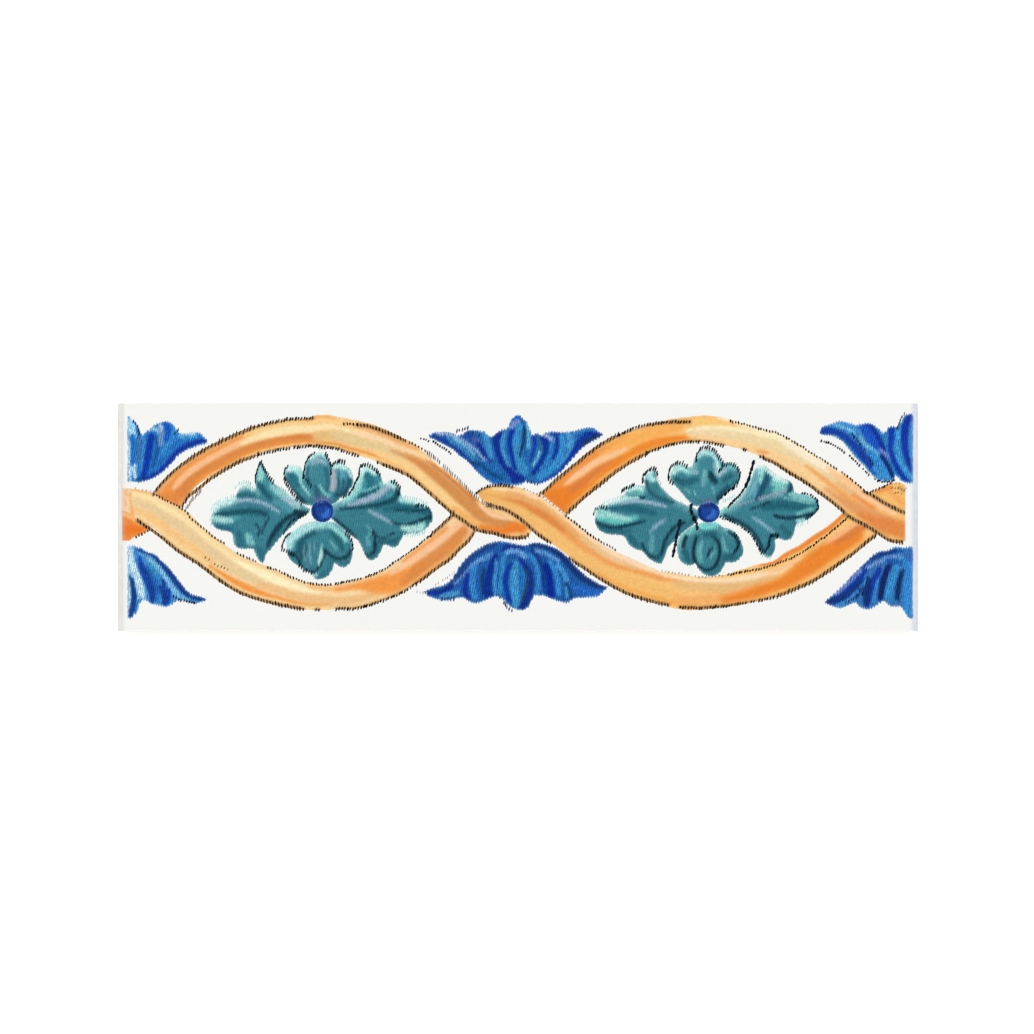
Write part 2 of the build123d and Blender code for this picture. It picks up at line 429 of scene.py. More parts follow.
# %% Lower right half palmette
paint_motif(
    "palmette_lower_right",
    """
76.6 -21.3, 76.8 -20.7, 77.6 -20.2, 78.9 -19, 80 -18, 81 -17, 82 -16, 83 -14.8, 84 -13.8, 85 -12.9,
86 -11.9, 87 -11, 88 -10, 89 -9.1, 90 -8.6, 91 -8.3, 92 -8.3, 93 -7.9, 94 -7.4, 95 -7.3, 96 -7.5,
97 -7.5, 98 -7.2, 98.6 -7.4 / 98.75 -9, 98.7 -12, 98.65 -16, 98.65 -23, 98.75 -24, 98.8 -25 /
98.4 -25.4, 97.6 -25.1, 97 -24.5, 96.5 -23.6, 96 -22.8, 95.5 -22.3, 94.5 -22.3, 93.3 -22.3,
92.5 -21.9, 91.8 -21.2, 91.3 -20.9 / 90.6 -21.3, 90 -21.8, 89 -22.4, 88 -22.9, 87.3 -23,
86.2 -22.8, 85.3 -22.4, 84.9 -21.9, 84.4 -21.3 / 83.6 -21.5, 82.6 -21.9, 81.5 -22.4, 80 -22.7,
78.8 -22.3, 77.6 -21.9
""",
    (52, 112, 174),
    """
110 125 190 > 79.5 -18.8 1.2, 81 -17.5, 82.5 -16, 84 -14.5, 85.3 -13.3 1.2
35 70 140 > 86 -12.3 1, 88 -10.4, 90 -9, 91.5 -8.7 1
15 50 155 > 77.5 -21.1 1.6, 79.5 -20.6, 81.5 -19.4, 83 -18 1.9, 84.5 -16.3, 86 -14.5, 87 -13 .8
63 140 207 > 80 -22 1.2, 82 -21, 83.5 -19.5, 85 -18, 86.3 -16.3 1.2
25 55 165 > 87.2 -21.5 1.8, 87.6 -19.5, 88.2 -17.5, 89.2 -15, 90.3 -13 1.3
54 130 198 > 88.8 -21 .8, 89.3 -18.5, 89.8 -16 .8
99 140 198 > 89.5 -11.5 1, 91 -10.7, 92.5 -10, 94 -9.8, 95.5 -9.9 1
15 40 120 > 90.5 -20.3 1.3, 90.8 -18, 91.3 -15.5 1.5, 92.3 -13, 93 -11.5 1.2
54 140 202 > 92.5 -20 1.6, 93 -17, 93.8 -14.5, 95 -12, 96 -10.8 1.6
20 60 100 > 94.9 -20.5 .8, 95.3 -18, 95.6 -15.5, 96.5 -13.2 .8
50 135 207 > 97.3 -24 1.8, 97.2 -20, 97.3 -16, 97.6 -12 1.8
30 90 190 > 98.3 -8.5 1, 98.3 -11 1
27 88 176 > 92.5 -8.6 .9, 95 -8.4, 96.3 -8.2 .9
24 60 132 > 88.5 -10.2 1.2, 91.5 -9 1.4, 94 -8.4 1.2
36 92 168 > 92.6 -10.8 1.6, 95.6 -11.4 1.2
22 54 120 > 78 -21 1.6, 81 -20 1.8, 83.5 -18.2 1.4, 86 -15.8 1
112 142 200 > 87.4 -12.6 .8, 90 -11.2 .8
20 48 110 > 87.8 -15.6 1.2, 87.2 -18.4 1.9, 87 -21.2 1.6
18 40 92 > 92.3 -12.2 .9, 91.3 -15.6 1.3, 90.5 -19.6 1.1
26 58 118 > 84.4 -19.8 .7, 86 -17.6 .8
20 44 92 > 95.8 -13.6 .7, 95 -16.6 1, 94.6 -20 .9
""",
    **PALMETTE,
)

# %% [markdown]
# ## Rosettes
# Inside each loop of the ribbons lies a rosette of four lobed leaves round a blue dot. They are
# sea green, milky along one edge, with a dark vein down the middle and a few lines of ink. Both
# rosettes follow one idea, but they were drawn one at a time, and so are these.

# %% Left rosette, top leaf
LEAF = {
    "comb": 0.15,
    "fray": 0.5,
    "rim": 0.45,
    "soft": 1.4,
    "milk": ((172, 226, 222), (34, 84, 100)),
}
paint_motif(
    "left_rosette_top_leaf",
    """
-53.5 3.2, -54.5 4, -55.5 5.5, -57 7.8, -58.2 9.7, -58.2 11.5, -57.8 12.6, -57 13.1, -55.5 13,
-54.3 12.6 / -53.4 11, -53.2 13, -52.6 14.8, -51.5 15.7, -50.3 16.3, -49 16.2, -47.9 15.8,
-47.2 14.5, -46.8 13.3 / -46.3 13.2, -45.3 13.8, -44.3 13.8, -43.2 13, -42 12.2, -41.4 10.8,
-41.1 9.3, -41.3 8, -42 7, -43 5.5, -44.3 4.8, -46 3.2, -47.5 2.8, -49 2.8, -51 2.9, -52.3 3
""",
    (64, 132, 146),
    """
170 225 220 > -57 12.2 1.6, -55.7 12, -54.7 11.2 1.6
70 150 165 > -56 9.8 1.6, -55.5 8.5 1.6
130 170 185 > -51 13.8 1, -49.5 14, -48 13.5 1
150 165 180 > -46 12 1.3, -46 10.5, -45.5 9, -46 7.5 1.3
140 205 205 > -45.5 13 1.2, -43.5 12.3 1.2
90 165 185 > -44 11.3 1, -43.7 10 1
35 85 105 > -42 9.5 1.2, -42.3 7.8, -43 6.3 1.2
100 180 175 > -49.5 8 .6, -48.5 6.3, -47 5.5 .6
98 104 148 > -51 4.3 .8, -49 4.8, -47 4.4 .8
205 240 236 > -57.3 12 1.4, -56 12.6 1.4, -54.8 12.2 1.2
160 216 216 > -54.4 12 1.1, -54.3 10.5, -54.4 9 1
40 108 124 > -57 10.6 1.4, -56 9.6 2, -55.3 8.2 1.6
150 206 205 > -54.3 8.8 .5, -53.3 7.2 .7, -52 5.6 .5
24 68 84 > -58 9.4 1, -56.4 7, -54.6 5, -53.4 3.9 1.2
196 236 232 > -51.9 14.9 1, -50.6 15.7, -49 15.8, -47.8 15.1 1
150 178 194 > -51.3 13.6 .8, -50 14.2, -48.3 13.9 .8
40 96 112 > -52.4 12.5 .8, -52.6 10.5, -52 8.5 .8
46 104 118 > -48 12 1.2, -47.4 9.5, -47.6 7 1.2
44 96 112 > -50.5 7.5 1.4, -50 5.6 1.4
130 196 196 > -49.8 8 .4, -48.6 6.4, -47.4 5 .4
168 176 188 > -46.3 11 1.2, -46.2 9, -46.5 7 1.2
36 84 100 > -45 10 .5, -44.8 8, -45.2 6.2 .5
36 84 100 > -43.6 9.6 .5, -43.6 8, -44.2 6.2 .5
188 232 226 > -46 12.6 1, -44.5 13 1.2, -43 12.2 1
190 224 230 > -42.2 11.6 .8, -41.7 10 .6
34 74 94 > -45.4 5.4 1, -43.8 5.8, -42.4 7 1
""",
    **LEAF,
)

# %% Left rosette, right leaf
paint_motif(
    "left_rosette_right_leaf",
    """
-46.9 3.2, -44.5 4.2, -43 5.3, -41.5 7, -40.5 8.5, -39.7 10, -39 12, -38.3 13 / -37.7 12.9,
-36.5 12.4, -35.2 11.5, -34.3 10.3, -33.8 9, -33.6 8.3 / -33 8.7, -32 9.2, -31 9.3, -30.2 8.5,
-29.6 7.5, -29.3 6.3, -29 5.2, -28 4.6, -26.5 4.3, -25 3.8, -23.5 3.2, -22.2 2.5, -21.5 1.5,
-21.3 .5, -21.4 -.8, -22 -1.7, -22.8 -2.7, -24 -3.5, -25.2 -4, -26.5 -4.1, -28 -4.3, -28.8 -4.8,
-29.2 -5.7, -29.8 -6.7, -30.5 -7.4, -31.5 -7.5, -32.5 -7, -33.5 -6.9 / -34 -7.8, -34.5 -9,
-35.2 -10, -36.3 -10.7, -37.3 -10.6, -38 -9.8, -38.5 -8.8, -39.3 -7, -40 -5.8, -41.5 -4.7,
-43 -3.6, -44.5 -2.3, -45.9 -1, -47 .2, -47.2 1.5
""",
    (58, 124, 138),
    """
200 240 235 > -38.5 11.5 1.5, -37 11.8, -36 11 1.5
120 200 195 > -39.7 9 1.3, -39.5 7.5, -41 5.5, -42.5 4.3 1.3
70 150 165 > -36.5 9.5 2, -37.5 8, -38 7 2
30 85 100 > -34.5 7.5 .9, -36 6.5, -38 5.8, -39.5 5.3 .9
120 195 190 > -34.3 8.5 1, -34 7, -35 6, -36.5 5.3 1
180 230 225 > -32.5 8 1.2, -31.3 8, -30.5 7 1.2
70 150 160 > -31 6 1.2, -32.5 5.5 1.2
25 75 90 > -30 7 .9, -30 5.5, -30.8 4.3, -33 3.5, -35.5 2.8 .9
130 205 200 > -29 4 1.3, -27 3.6, -25 3, -23.5 2.6 1.3
25 75 90 > -28 1.6 .7, -25 1.5, -23 1 .7
150 210 200 > -28 -2.3 1.6, -25.8 -2.5, -23.8 -1.9 1.6
18 45 60 > -36 -7 .6, -35.7 -5, -36.3 -3.2 .6
90 165 170 > -37.8 -5 .6, -37.5 -7 .6
200 240 236 > -39.3 10.4 1.2, -38.6 12 1.3, -37.2 12.6 1
160 216 212 > -43.8 4 .8, -42 5.4 1.2, -40.4 7.4 1.5, -39.4 9.4 1.4
40 112 128 > -37.6 10.6 1.6, -36.8 9.4 2, -37.2 7.6 1.6
120 186 190 > -39 6.4 .5, -37 7, -35 8 .5
164 180 202 > -42.4 3.2 .7, -39.5 3.9 1.2, -36.5 4.9 1.5, -34 6.2 1.4, -32.3 7.6 1
24 68 84 > -44.4 2.2 .6, -41 2.3, -37 2.8 .9, -33.5 3.7, -31 5, -30.3 7.2 .7
176 224 220 > -32.6 8.6 .9, -31.2 8.7, -30.2 7.8 .7
176 224 220 > -29.4 4.6 1, -27 4.1 1.3, -24.5 3.4 1.1, -23 2.8 .8
36 100 116 > -33 2 1.4, -29.5 2.6 1.8, -25.5 2.2 1.6, -22.6 1.2 1.6
20 54 70 > -31 1.7 .4, -28 1.9, -25 1.7, -22.6 2.1 .5
20 54 70 > -32 -.9 .5, -29.6 -1.7, -27 -1.6, -24.5 -.8, -22 .2 .9
176 222 218 > -28.8 -2.6 1.2, -26.5 -3.2 1.6, -24 -2.8 1.2
150 174 196 > -37.2 1.6 .7, -35 .5 .9, -32.8 -.7, -31.6 -1.4 .6
20 52 66 > -46 -.3 .7, -43.6 -2.2, -41.2 -4.4, -40 -6.8, -38.9 -8.8, -37.6 -9.5, -36 -8.6,
    -35.5 -6.6 .8
104 168 176 > -37.8 -2 .4, -36.6 -3.4, -37.6 -5, -36.8 -6.6 .4
20 52 66 > -36.4 -3.8 .4, -34.5 -5, -32.4 -4.6, -31 -3.9 .5
40 96 112 > -34.5 -6 1.2, -32 -6.2, -30.2 -5.6 1.2
""",
    **LEAF,
)

# %% Left rosette, bottom leaf
paint_motif(
    "left_rosette_bottom_leaf",
    """
-58 -6.5, -57.7 -5, -56.5 -3.6, -55 -2.5, -53.5 -1.7, -52 -1.1, -50.3 -.9, -48 -1, -46.5 -1,
-45.3 -1.5, -44 -2.7, -43 -3.8, -42.2 -5, -41.6 -6.3, -41.4 -7.7, -41.3 -9.3, -41.7 -10.9,
-42.5 -12, -43.4 -12.5, -44.6 -12.3, -45.3 -11.7 / -46 -11.5, -46.2 -12.5, -46.6 -13.5,
-47.5 -14.7, -48.5 -15.2, -49.7 -15.5, -50.6 -15.4, -51.3 -14.7, -52 -13.8, -53.3 -13.3, -54 -12.6,
-55.3 -11.9, -56.5 -11, -57.3 -10, -57.8 -8.5
""",
    (60, 126, 140),
    """
175 225 225 > -57.2 -7 2.2, -56.6 -5.3, -55 -3.9, -53.2 -2.8 2.4, -51 -2, -49 -1.9 1.6
150 215 210 > -50 -1.9 1.6, -47 -2 1.4, -45.5 -3, -44 -4.3, -43 -5.7 1
35 80 95 > -54.5 -10.5 1.2, -53.5 -9, -53.3 -7 1.2
85 145 160 > -52.5 -9 .7, -52 -11 .7
110 185 180 > -49 -7 .7, -49.3 -9, -49.7 -11 .7
34 88 104 > -56.5 -9.4 1.4, -54.8 -8.6, -54.4 -6.6, -53 -4.9, -51 -3.9 1.2
118 158 172 > -53.3 -7 .4, -53.5 -9, -53.2 -11 .4
118 158 172 > -52 -6.6 .4, -52 -9, -51.6 -11.6 .4
118 158 172 > -50.9 -6.4 .3, -50.8 -8.6 .3
24 58 72 > -57.4 -9 .5, -55.6 -9.6, -54.6 -11.2, -54 -12.6, -52.4 -13.8, -50.6 -13.4, -49.4 -11.8,
    -48.5 -9.6, -48.3 -8.2 .8
192 226 218 > -49 -8.2 .6, -49.2 -9.8 .9, -49.8 -11.6 .6
172 216 216 > -51.4 -14.6 .7, -50.3 -14.3 .6
24 58 72 > -48.2 -8.2 .9, -46.8 -9.5, -44.8 -10.3, -43 -9.9, -41.8 -8.4 .9
36 98 108 > -46.4 -4 1, -44.8 -5.8 1.4, -43.8 -8 1
110 176 182 > -46.8 -6 .6, -45.4 -7.8 .6
""",
    **LEAF,
)

# %% Left rosette, left leaf
paint_motif(
    "left_rosette_left_leaf",
    """
-51.9 2.2, -53.3 2.9, -55 4, -57 5.5, -58.7 7, -60.5 8.2, -61.8 9.3, -62.8 11, -63.5 12.8,
-64.3 13.4 / -65 12.6, -65.5 11, -65.8 9.6, -65.6 8, -65.5 7 / -66.3 7.6, -67.3 8.2, -68.5 8.3,
-69.3 7.7, -70 6.7, -70.5 5.5, -71.3 4.8, -72.5 4.4, -74 4, -75.2 3.3, -76 2.2, -76.5 1, -76.7 0,
-76.6 -1, -76.2 -2, -75.3 -2.8, -74 -3.3, -72.5 -3.5, -71.5 -4, -71.2 -5.3, -71 -6.5, -70.4 -7.3,
-69.5 -7.8, -68 -7.9, -66.8 -7.8, -66 -8 / -65.7 -9, -65.2 -10, -64.5 -11, -63.8 -11.4,
-63.3 -10.8, -63 -9.5, -62.5 -8.7, -61.7 -8, -61 -7, -60.3 -6.2, -59.3 -5, -58.3 -4, -57.3 -3,
-56 -1.8, -54.8 -.6, -53.4 .3, -52.2 1.1
""",
    (60, 127, 142),
    """
150 215 210 > -64.5 12 1.5, -64 10.5, -64.5 9.3 1.5
70 145 155 > -63 9 1.3, -62 7.5, -61 6 1.3
30 90 105 > -69.5 5.5 1.2, -67.5 5.5, -66 5 1.2
35 90 105 > -75 .7 1.6, -72 .8, -69 1.3, -66 1.5, -63 1 1.6
80 160 165 > -76 -.3 1, -73 -.3, -70 0 1
110 180 180 > -67.5 -4.5 1.4, -67 -5.5, -66.3 -6.5 1.4
130 200 195 > -60 6.5 1.8, -58 5, -56.3 3.5, -55.2 2.3 1.8
80 150 165 > -60.5 4 1.5, -58.5 3, -57 1.8 1.5
18 45 60 > -55.5 1.5 1.2, -54.3 1, -53.5 0 1.2
200 238 236 > -76 1.8 1.4, -74.5 3.2 1.6, -72 3.8, -70.8 4.6 1
170 220 218 > -76.3 -.2 1.1, -74 -.6 1.6, -71.5 -.8 1
40 96 120 > -76 -2.3 1, -73.5 -2.9 1.2, -71.5 -3 .8
26 68 84 > -74.5 .7 .5, -71 1.2, -67.5 1.7, -64 1.2, -63 .4 .5
205 238 230 > -70 7.2 1, -68.8 8 1.2, -67.3 7.7, -66.2 7 .8
44 112 122 > -70 5.6 1.2, -67.8 5.7, -66 5.3 1.2
160 182 204 > -70.8 3.9 .6, -68 4.4 .9, -65 4, -62 2.8, -59.6 1.3 .6
32 88 104 > -64.6 8.3 1.4, -63.4 6.4, -62 5 1.2
150 205 206 > -61.5 7.8 1.2, -59 6.2 1.6, -56.5 4.4 1.6, -54.8 3 1
172 186 204 > -58.8 5 .7, -56.5 3.6 .8, -55.2 2.7 .5
24 56 72 > -52.6 1.2 1, -55 1 1.2, -58 -.4 1.2, -60 -2.6 1.4, -61.6 -5 1.1, -62.6 -7.2 .6
24 60 76 > -62.2 -.2 .5, -63.3 -2, -64 -4 .5
24 60 76 > -65.5 -1.6 .4, -64.6 -3, -65 -4.6 .4
140 204 204 > -67.7 -4.6 .5, -67.4 -6.6 .6
140 204 204 > -66.6 -5 .4, -66.4 -6.6 .5
46 108 124 > -69.8 -4 1.6, -69.4 -7 1.6
46 104 120 > -64.6 -8 1.4, -64 -10 1
""",
    **LEAF,
)

# %% Right rosette, top leaf
paint_motif(
    "right_rosette_top_leaf",
    """
43.7 2.9, 42 4.7, 40.5 6.5, 39.3 7.8, 38.5 8.8, 38 10, 38.2 11.3, 38.7 12.3, 39.5 13, 40.5 13.3,
41.5 13, 42.3 12.6, 43.2 12.7 / 43.7 13.3, 43.9 14.3, 44.3 15.3, 45 16.2, 46 16.8, 47 17, 48 16.9,
49 16.4, 49.8 15.6, 50.4 14.6, 51 13.8 / 52 13.6, 53 13.5, 54.2 13.1, 54.9 12.3, 55.2 11, 55.2 9.5,
54.8 8.5, 54 7.7, 53 6.8, 52 6, 51 5, 50.3 4.1, 50 3.2, 48.5 3.2, 47 3.3, 45.2 2.8
""",
    (64, 132, 146),
    """
140 210 205 > 39 11.5 1.2, 40 12.2, 41.5 11.9, 42.8 11.3 1.2
150 185 190 > 49.5 13 1.6, 49.8 12, 50 11 1.6
140 180 190 > 43.3 11.7 1.2, 44.5 11.3 1.2
120 195 195 > 51.5 12.7 .9, 53 12.8, 54.3 12.3 .9
20 60 80 > 48 11 1.1, 48.7 10, 49.4 8.8 1.1
100 165 175 > 47 11 .7, 47 9 .7
25 75 90 > 52.5 7.5 1, 51 6.3, 50 5 1
112 110 150 > 45.8 3.9 .5, 47 4.2, 48.6 4 .6
176 228 222 > 38.9 11.2 1, 40.2 12.3 1.2, 42 12 .9
184 228 226 > 45 15.2 .7, 46 16 .9, 47.8 16, 49.2 14.9, 49.9 13.2, 50.2 11.4 .8
66 132 146 > 45.6 14 1, 46 13 1
112 172 178 > 46.6 11.6 .9, 46.4 9.8 1.1, 46.2 8 .7
24 58 72 > 48.2 11 .5, 48.3 9 .6
24 58 72 > 47.3 10.4 .4, 49.6 9.2 .5
160 188 206 > 50.2 10.4 .7, 51.2 11.4 1, 52.2 12 .7
130 192 192 > 41.3 7.3 .3, 42.4 6.7, 43 5.8 .3
130 192 192 > 44 6.4 .3, 44.4 5.6 .3
130 192 192 > 48.4 7.6 .3, 49 6.8, 48.9 6 .3
40 98 112 > 39.6 9.5 1.6, 41.6 8.6 1.8, 44.5 9.4 1.4
40 98 112 > 51.6 9.4 1.4, 53 10.4 1.4
24 60 76 > 55 9 .8, 53.6 7, 51.8 5.6, 50 4.6 .9
""",
    **LEAF,
)

# %% Right rosette, left leaf
paint_motif(
    "right_rosette_left_leaf",
    """
45.2 1.5, 44 2.4, 42.5 2.9, 41 3.6, 39.7 4.2, 38.5 5, 37.3 6, 36.3 7, 35.5 8, 34.8 9.2, 34.5 10.3,
34.3 11.3, 33.7 11.8, 33 11.5, 32.2 10.8, 31.7 9.9, 31.5 8.7, 31.7 7.8 / 31 8, 29.8 8.1, 28.5 8,
27.3 7.4, 26.8 6.4, 26.3 5.4, 25.8 4.8, 24.5 4.2, 23 3.8, 21.8 3, 20.5 2.6, 19.7 1.5, 19.3 .3,
19.2 -1, 19.6 -2.3, 20.3 -3.2, 21.5 -3.9, 23 -4.3, 24.8 -4.4, 26.2 -4.6, 27 -5.5, 27.5 -6.6,
28.3 -7.3, 29.5 -8, 31 -8.5, 31.8 -9.3, 32.7 -10.3, 33.8 -11, 35 -11.5, 35.8 -11.6 / 36.3 -10.8,
36.8 -9.5, 37.3 -8, 38 -6.9, 39 -6, 40 -5, 41.3 -3.9, 42.7 -2.7, 44.5 -1.3, 45.3 0
""",
    (58, 124, 138),
    """
175 230 225 > 33 11 1.5, 33 10, 33.7 9.5 1.5
100 180 180 > 28 6.2 1, 30 6, 31 6 1
30 70 85 > 28 5 .5, 30 5, 31.5 5 .5
150 225 215 > 22 3.3 1, 24 4, 26 4.6 1
100 195 190 > 20.2 .3 1.6, 22 -.2, 24 -.8 2, 26 -.8, 28 -.4, 29.5 0 1
170 230 225 > 21 2 1, 22.5 1.8 1
18 45 60 > 25.8 -3 .5, 26 -4.3 .5
18 45 60 > 43.3 3 .6, 43.2 1.5, 43.7 .3, 44.7 -.3 .6
36 92 108 > 32 9 1, 32.6 7, 34 5.6, 36 4.6, 38.5 3.8 1
196 236 232 > 27.4 6.9 1, 29.2 7.4 1.3, 31 7 1
24 68 84 > 27.6 5.3 .4, 29.5 5, 31.5 5 .5
192 232 230 > 21.6 3 .8, 24 4 1.1, 27 4.8 1, 30 4.9 .6
162 184 206 > 25.5 3.5 .5, 29 4, 33 3.7 .9, 37 2.7 .5
36 98 116 > 22 2.2 .9, 26 2.4 1.5, 30 2 1.8, 34 1 1.4
164 218 212 > 19.8 .5 1, 22 .7 1.4, 25 .2 1.4, 28 -.5 .9
20 56 72 > 19.1 -.9 .8, 21 -2, 24 -2.5 1, 27.5 -2, 31.6 -.9 .6
42 104 120 > 21 -3.2 1, 24 -3.7 1.2, 28 -3.4 1
134 168 192 > 36.7 -.6 .6, 34.9 -1.8 1, 33 -3.7 .6
92 156 170 > 33.7 -4.8 1, 33.3 -6.5 1.5, 33.4 -8.2 1.1
22 56 72 > 31 -6.6 .6, 31.9 -8.6, 33.4 -9.8, 35 -9.9, 36 -8.4, 36.6 -6.2, 37.8 -4, 39.4 -2.2,
    41.5 -1.3 .9
40 100 116 > 28 -5 1.4, 29.6 -6.6 1.4
""",
    **LEAF,
)

# %% Right rosette, bottom leaf
paint_motif(
    "right_rosette_bottom_leaf",
    """
44 -2, 42.8 -2.5, 41.5 -3.5, 40.5 -4.5, 39.9 -6, 39.7 -7.7, 39.9 -9.3, 40.3 -10.5, 41.3 -11.5,
42.5 -12, 43.7 -11.8, 44.3 -11.5 / 44.8 -12.6, 45.6 -13.5, 46.6 -14.3, 47.8 -14.7, 49 -14.6,
50 -14.1, 50.9 -13.2, 51.5 -12, 51.8 -11.3 / 52.7 -11.3, 53.7 -11.3, 54.7 -10.9, 55.5 -10.2,
56.1 -9.2, 56.3 -8, 56 -6.7, 55.5 -5.4, 54.8 -4.3, 53.8 -3.3, 52.5 -2.7, 51 -2.3, 50.3 -1.6,
49.3 -1.1, 47.5 -1.1, 46 -1.2
""",
    (60, 126, 140),
    """
120 215 210 > 45.3 -2 1.3, 46.8 -2.4, 48.3 -2.3, 49.5 -1.7 1.3
110 190 180 > 44 -2.7 .8, 42.7 -3.7, 41.3 -4.8, 40.6 -6.5 .8
18 45 60 > 42 -4.8 .9, 41.5 -6, 41.3 -7.3 .9
18 45 60 > 44.6 -5 .8, 44 -7, 43.8 -9, 44.2 -11, 45.2 -12.3, 46.5 -13, 48 -12.9, 49.2 -12.2,
    49.9 -10.8, 50.4 -9, 50.3 -7, 49.7 -5.7, 48.7 -4.8 .8
90 165 165 > 45.3 -7 .8, 45 -9, 45.5 -11 .8
18 45 60 > 48.5 -7.7 .6, 47.7 -8.7, 47.4 -9.7 .6
100 165 175 > 49 -8.5 .7, 48 -10 .7
85 160 165 > 51.3 -6 .9, 51.5 -8 .9
40 98 112 > 41.6 -8.6 1.6, 42.4 -10.4 1.4
96 164 168 > 44.2 -3.2 .6, 43.4 -4.4 .5
36 92 106 > 47 -4.4 1.4, 49 -4.2 1.4
112 178 180 > 46 -6 .5, 45.6 -8.4 .6, 46 -10.6 .4
104 166 172 > 51.2 -5 .5, 51.6 -7, 52.4 -8.6 .5
22 56 70 > 52.8 -3.6 .7, 54.4 -5 .9, 55 -6.8 .8, 54.2 -8.6 .5
38 94 110 > 53.4 -9.6 1.4, 51.6 -9.8 1.2
""",
    **LEAF,
)

# %% Right rosette, right leaf
paint_motif(
    "right_rosette_right_leaf",
    """
50.2 1.4, 51.5 2.5, 53 3, 54.3 4, 55.5 5.3, 56.7 7, 57.8 8.8, 58.5 10.5, 59 12, 60 12.8, 61.5 13,
62.6 12.2, 63.8 11.2, 65.2 10.3, 66.6 9.7, 67.8 9.2, 68.6 8.2, 68.9 7, 69 6.3 / 70 6, 71.5 5.9,
73 5.3, 74.3 4.6, 75.1 3.6, 75 2.2, 74.5 1.3, 73.8 .6, 73 -.2, 72 -.8, 71 -1.2, 70 -1.4, 69.4 -2,
69.1 -3.2, 68.8 -4.3, 68.2 -5.3, 67.3 -5.7, 66.3 -5.7, 65.3 -5.3, 64.6 -5.2 / 64.2 -6, 64.3 -7.2,
64 -8.5, 63.5 -9.5, 62.7 -10, 61.8 -9.8, 61 -9, 60.2 -8, 59.7 -7, 59.2 -5.8, 58.5 -4.7, 57.5 -3.6,
56.3 -2.7, 55 -2, 53.5 -1.3, 52 -.5, 50.4 .2
""",
    (60, 127, 142),
    """
150 220 215 > 60.8 12 1.6, 60.5 10.5, 61 9 1.6
30 80 100 > 62.3 10.3 1.2, 61.8 8.3, 60.8 6.5, 60 5 1.2
90 160 180 > 59.5 7 1.4, 59.3 5 1.4
110 190 185 > 65 9 2, 65.5 7.5, 64.5 6.5 2
180 230 225 > 63.8 9.4 .8, 65.5 9.3, 67 8.7 .8
120 160 175 > 66 5.7 .7, 64.3 5, 62.5 4.5, 61 4.2 .7
130 200 200 > 68 6 1, 70 5.2, 72.3 4.6, 73.7 3.8 1
40 105 118 > 62 3 2.6, 66 3.3, 70 3, 73 2.5 2.6
18 45 60 > 64 .3 .6, 66.5 -.2, 69 0, 71.5 .4, 73 1 .6
110 185 180 > 73 2 1.2, 71.5 1, 70 .8 1.2
150 215 210 > 70 -.7 1.2, 71.5 -.6 1.2
110 165 185 > 58.8 0 .7, 60.5 -1.3, 62 -2.5, 63.7 -3.7 .7
130 205 190 > 51 1.2 1, 52.5 3, 54 3.7 1
98 162 174 > 57.5 5 1.2, 58.5 7.5, 59.5 9.5 1.2
206 238 232 > 59.8 12.4 .9, 60.8 12.8 1.1, 61.8 12.2 .8
210 238 234 > 62 12 .7, 63.6 10.8 1.2, 65.4 9.7 1.3, 67 9 .8
152 160 182 > 55 3.2 .3, 58.5 4.1 .5, 62 5.2 .6, 65.5 6.2 .6, 68.4 6.9 .4
134 200 196 > 63.6 8.4 1, 65.4 8 1.4, 66.6 7.4 1
112 172 182 > 60.2 10.4 .8, 59.2 8.4 1, 58.2 6.2 .8
34 82 106 > 61.8 9.8 .9, 61 8, 60.2 6.2, 59.4 4.4 .7
22 58 74 > 68.3 8.4 1, 68.3 7.4, 67.6 6.4 .8
150 196 200 > 54 3.4 .7, 55.6 4.9 .8, 57 6.4 .6
36 96 112 > 61.5 2.4 1.4, 65 2.9 1.6, 69 2.6 1.2, 72 2.2 .8
120 184 186 > 66.6 4.9 .5, 70 4.3 .8, 73.2 3.5 .6
128 192 192 > 68 5.8 .8, 70.5 5.2 1, 72.8 4.5 .9
104 172 176 > 71 1.4 .8, 73 1.9 1, 74.2 2.4 .6
20 54 70 > 64.4 .4 .7, 67 -.1, 70 .1, 72.6 .8 .8
22 58 74 > 58.2 2.2 .6, 60.6 2.9, 63 3.9 .5
128 170 190 > 58.6 .1 .5, 61 -1.5 .8, 63.8 -3.6 .5
24 60 76 > 51.6 .5 .8, 54 -.6 1, 56.6 -2, 58.8 -3.8, 60.2 -6 .9, 61.4 -8.4 .7
24 60 76 > 64.8 -4.4 .6, 63.2 -4.7, 62.6 -6.2, 62.2 -7.8 .6
42 104 118 > 66 -2.5 1.6, 67.4 -4 1.6
""",
    **LEAF,
)

# %% The blue dot in the middle of each rosette
DOT_POINTS = 44
DOT_FRAY = 0.3
DOTS = (
    # name, middle, half its width and height
    ("left_rosette_dot", (-48.85, 1.6), (2.85, 2.85)),
    ("right_rosette_dot", (47.6, 1.33), (2.85, 2.65)),
)
DOT_STROKES = """
58 108 196 > 1.4 .4 1, 1 -.9 1.4, 0 -1.4 .9
22 44 108 > -1 1.7 1, .5 1.9, 1.8 .9 .7
20 42 100 > -2.1 .9 .7, -2.1 -.8, -1 -2.1, .8 -2.2 .6
96 112 170 > -1.3 2.3 .5, .2 2.4 .5
"""


def from_middle(middle):
    """What turns points that are counted from this middle into x and y."""
    return lambda points: middle + points[:, :2]


turn = np.linspace(0, 2 * math.pi, DOT_POINTS, endpoint=False)
for name, middle, halves in DOTS:
    ellipse = middle + halves * np.column_stack([np.cos(turn), np.sin(turn)])
    paint_motif(
        name,
        frayed(ellipse, DOT_FRAY, seed=len(motifs)),
        (30, 70, 150),
        DOT_STROKES,
        comb=0.24,
        rim=0.12,
        place=from_middle(middle),
    )

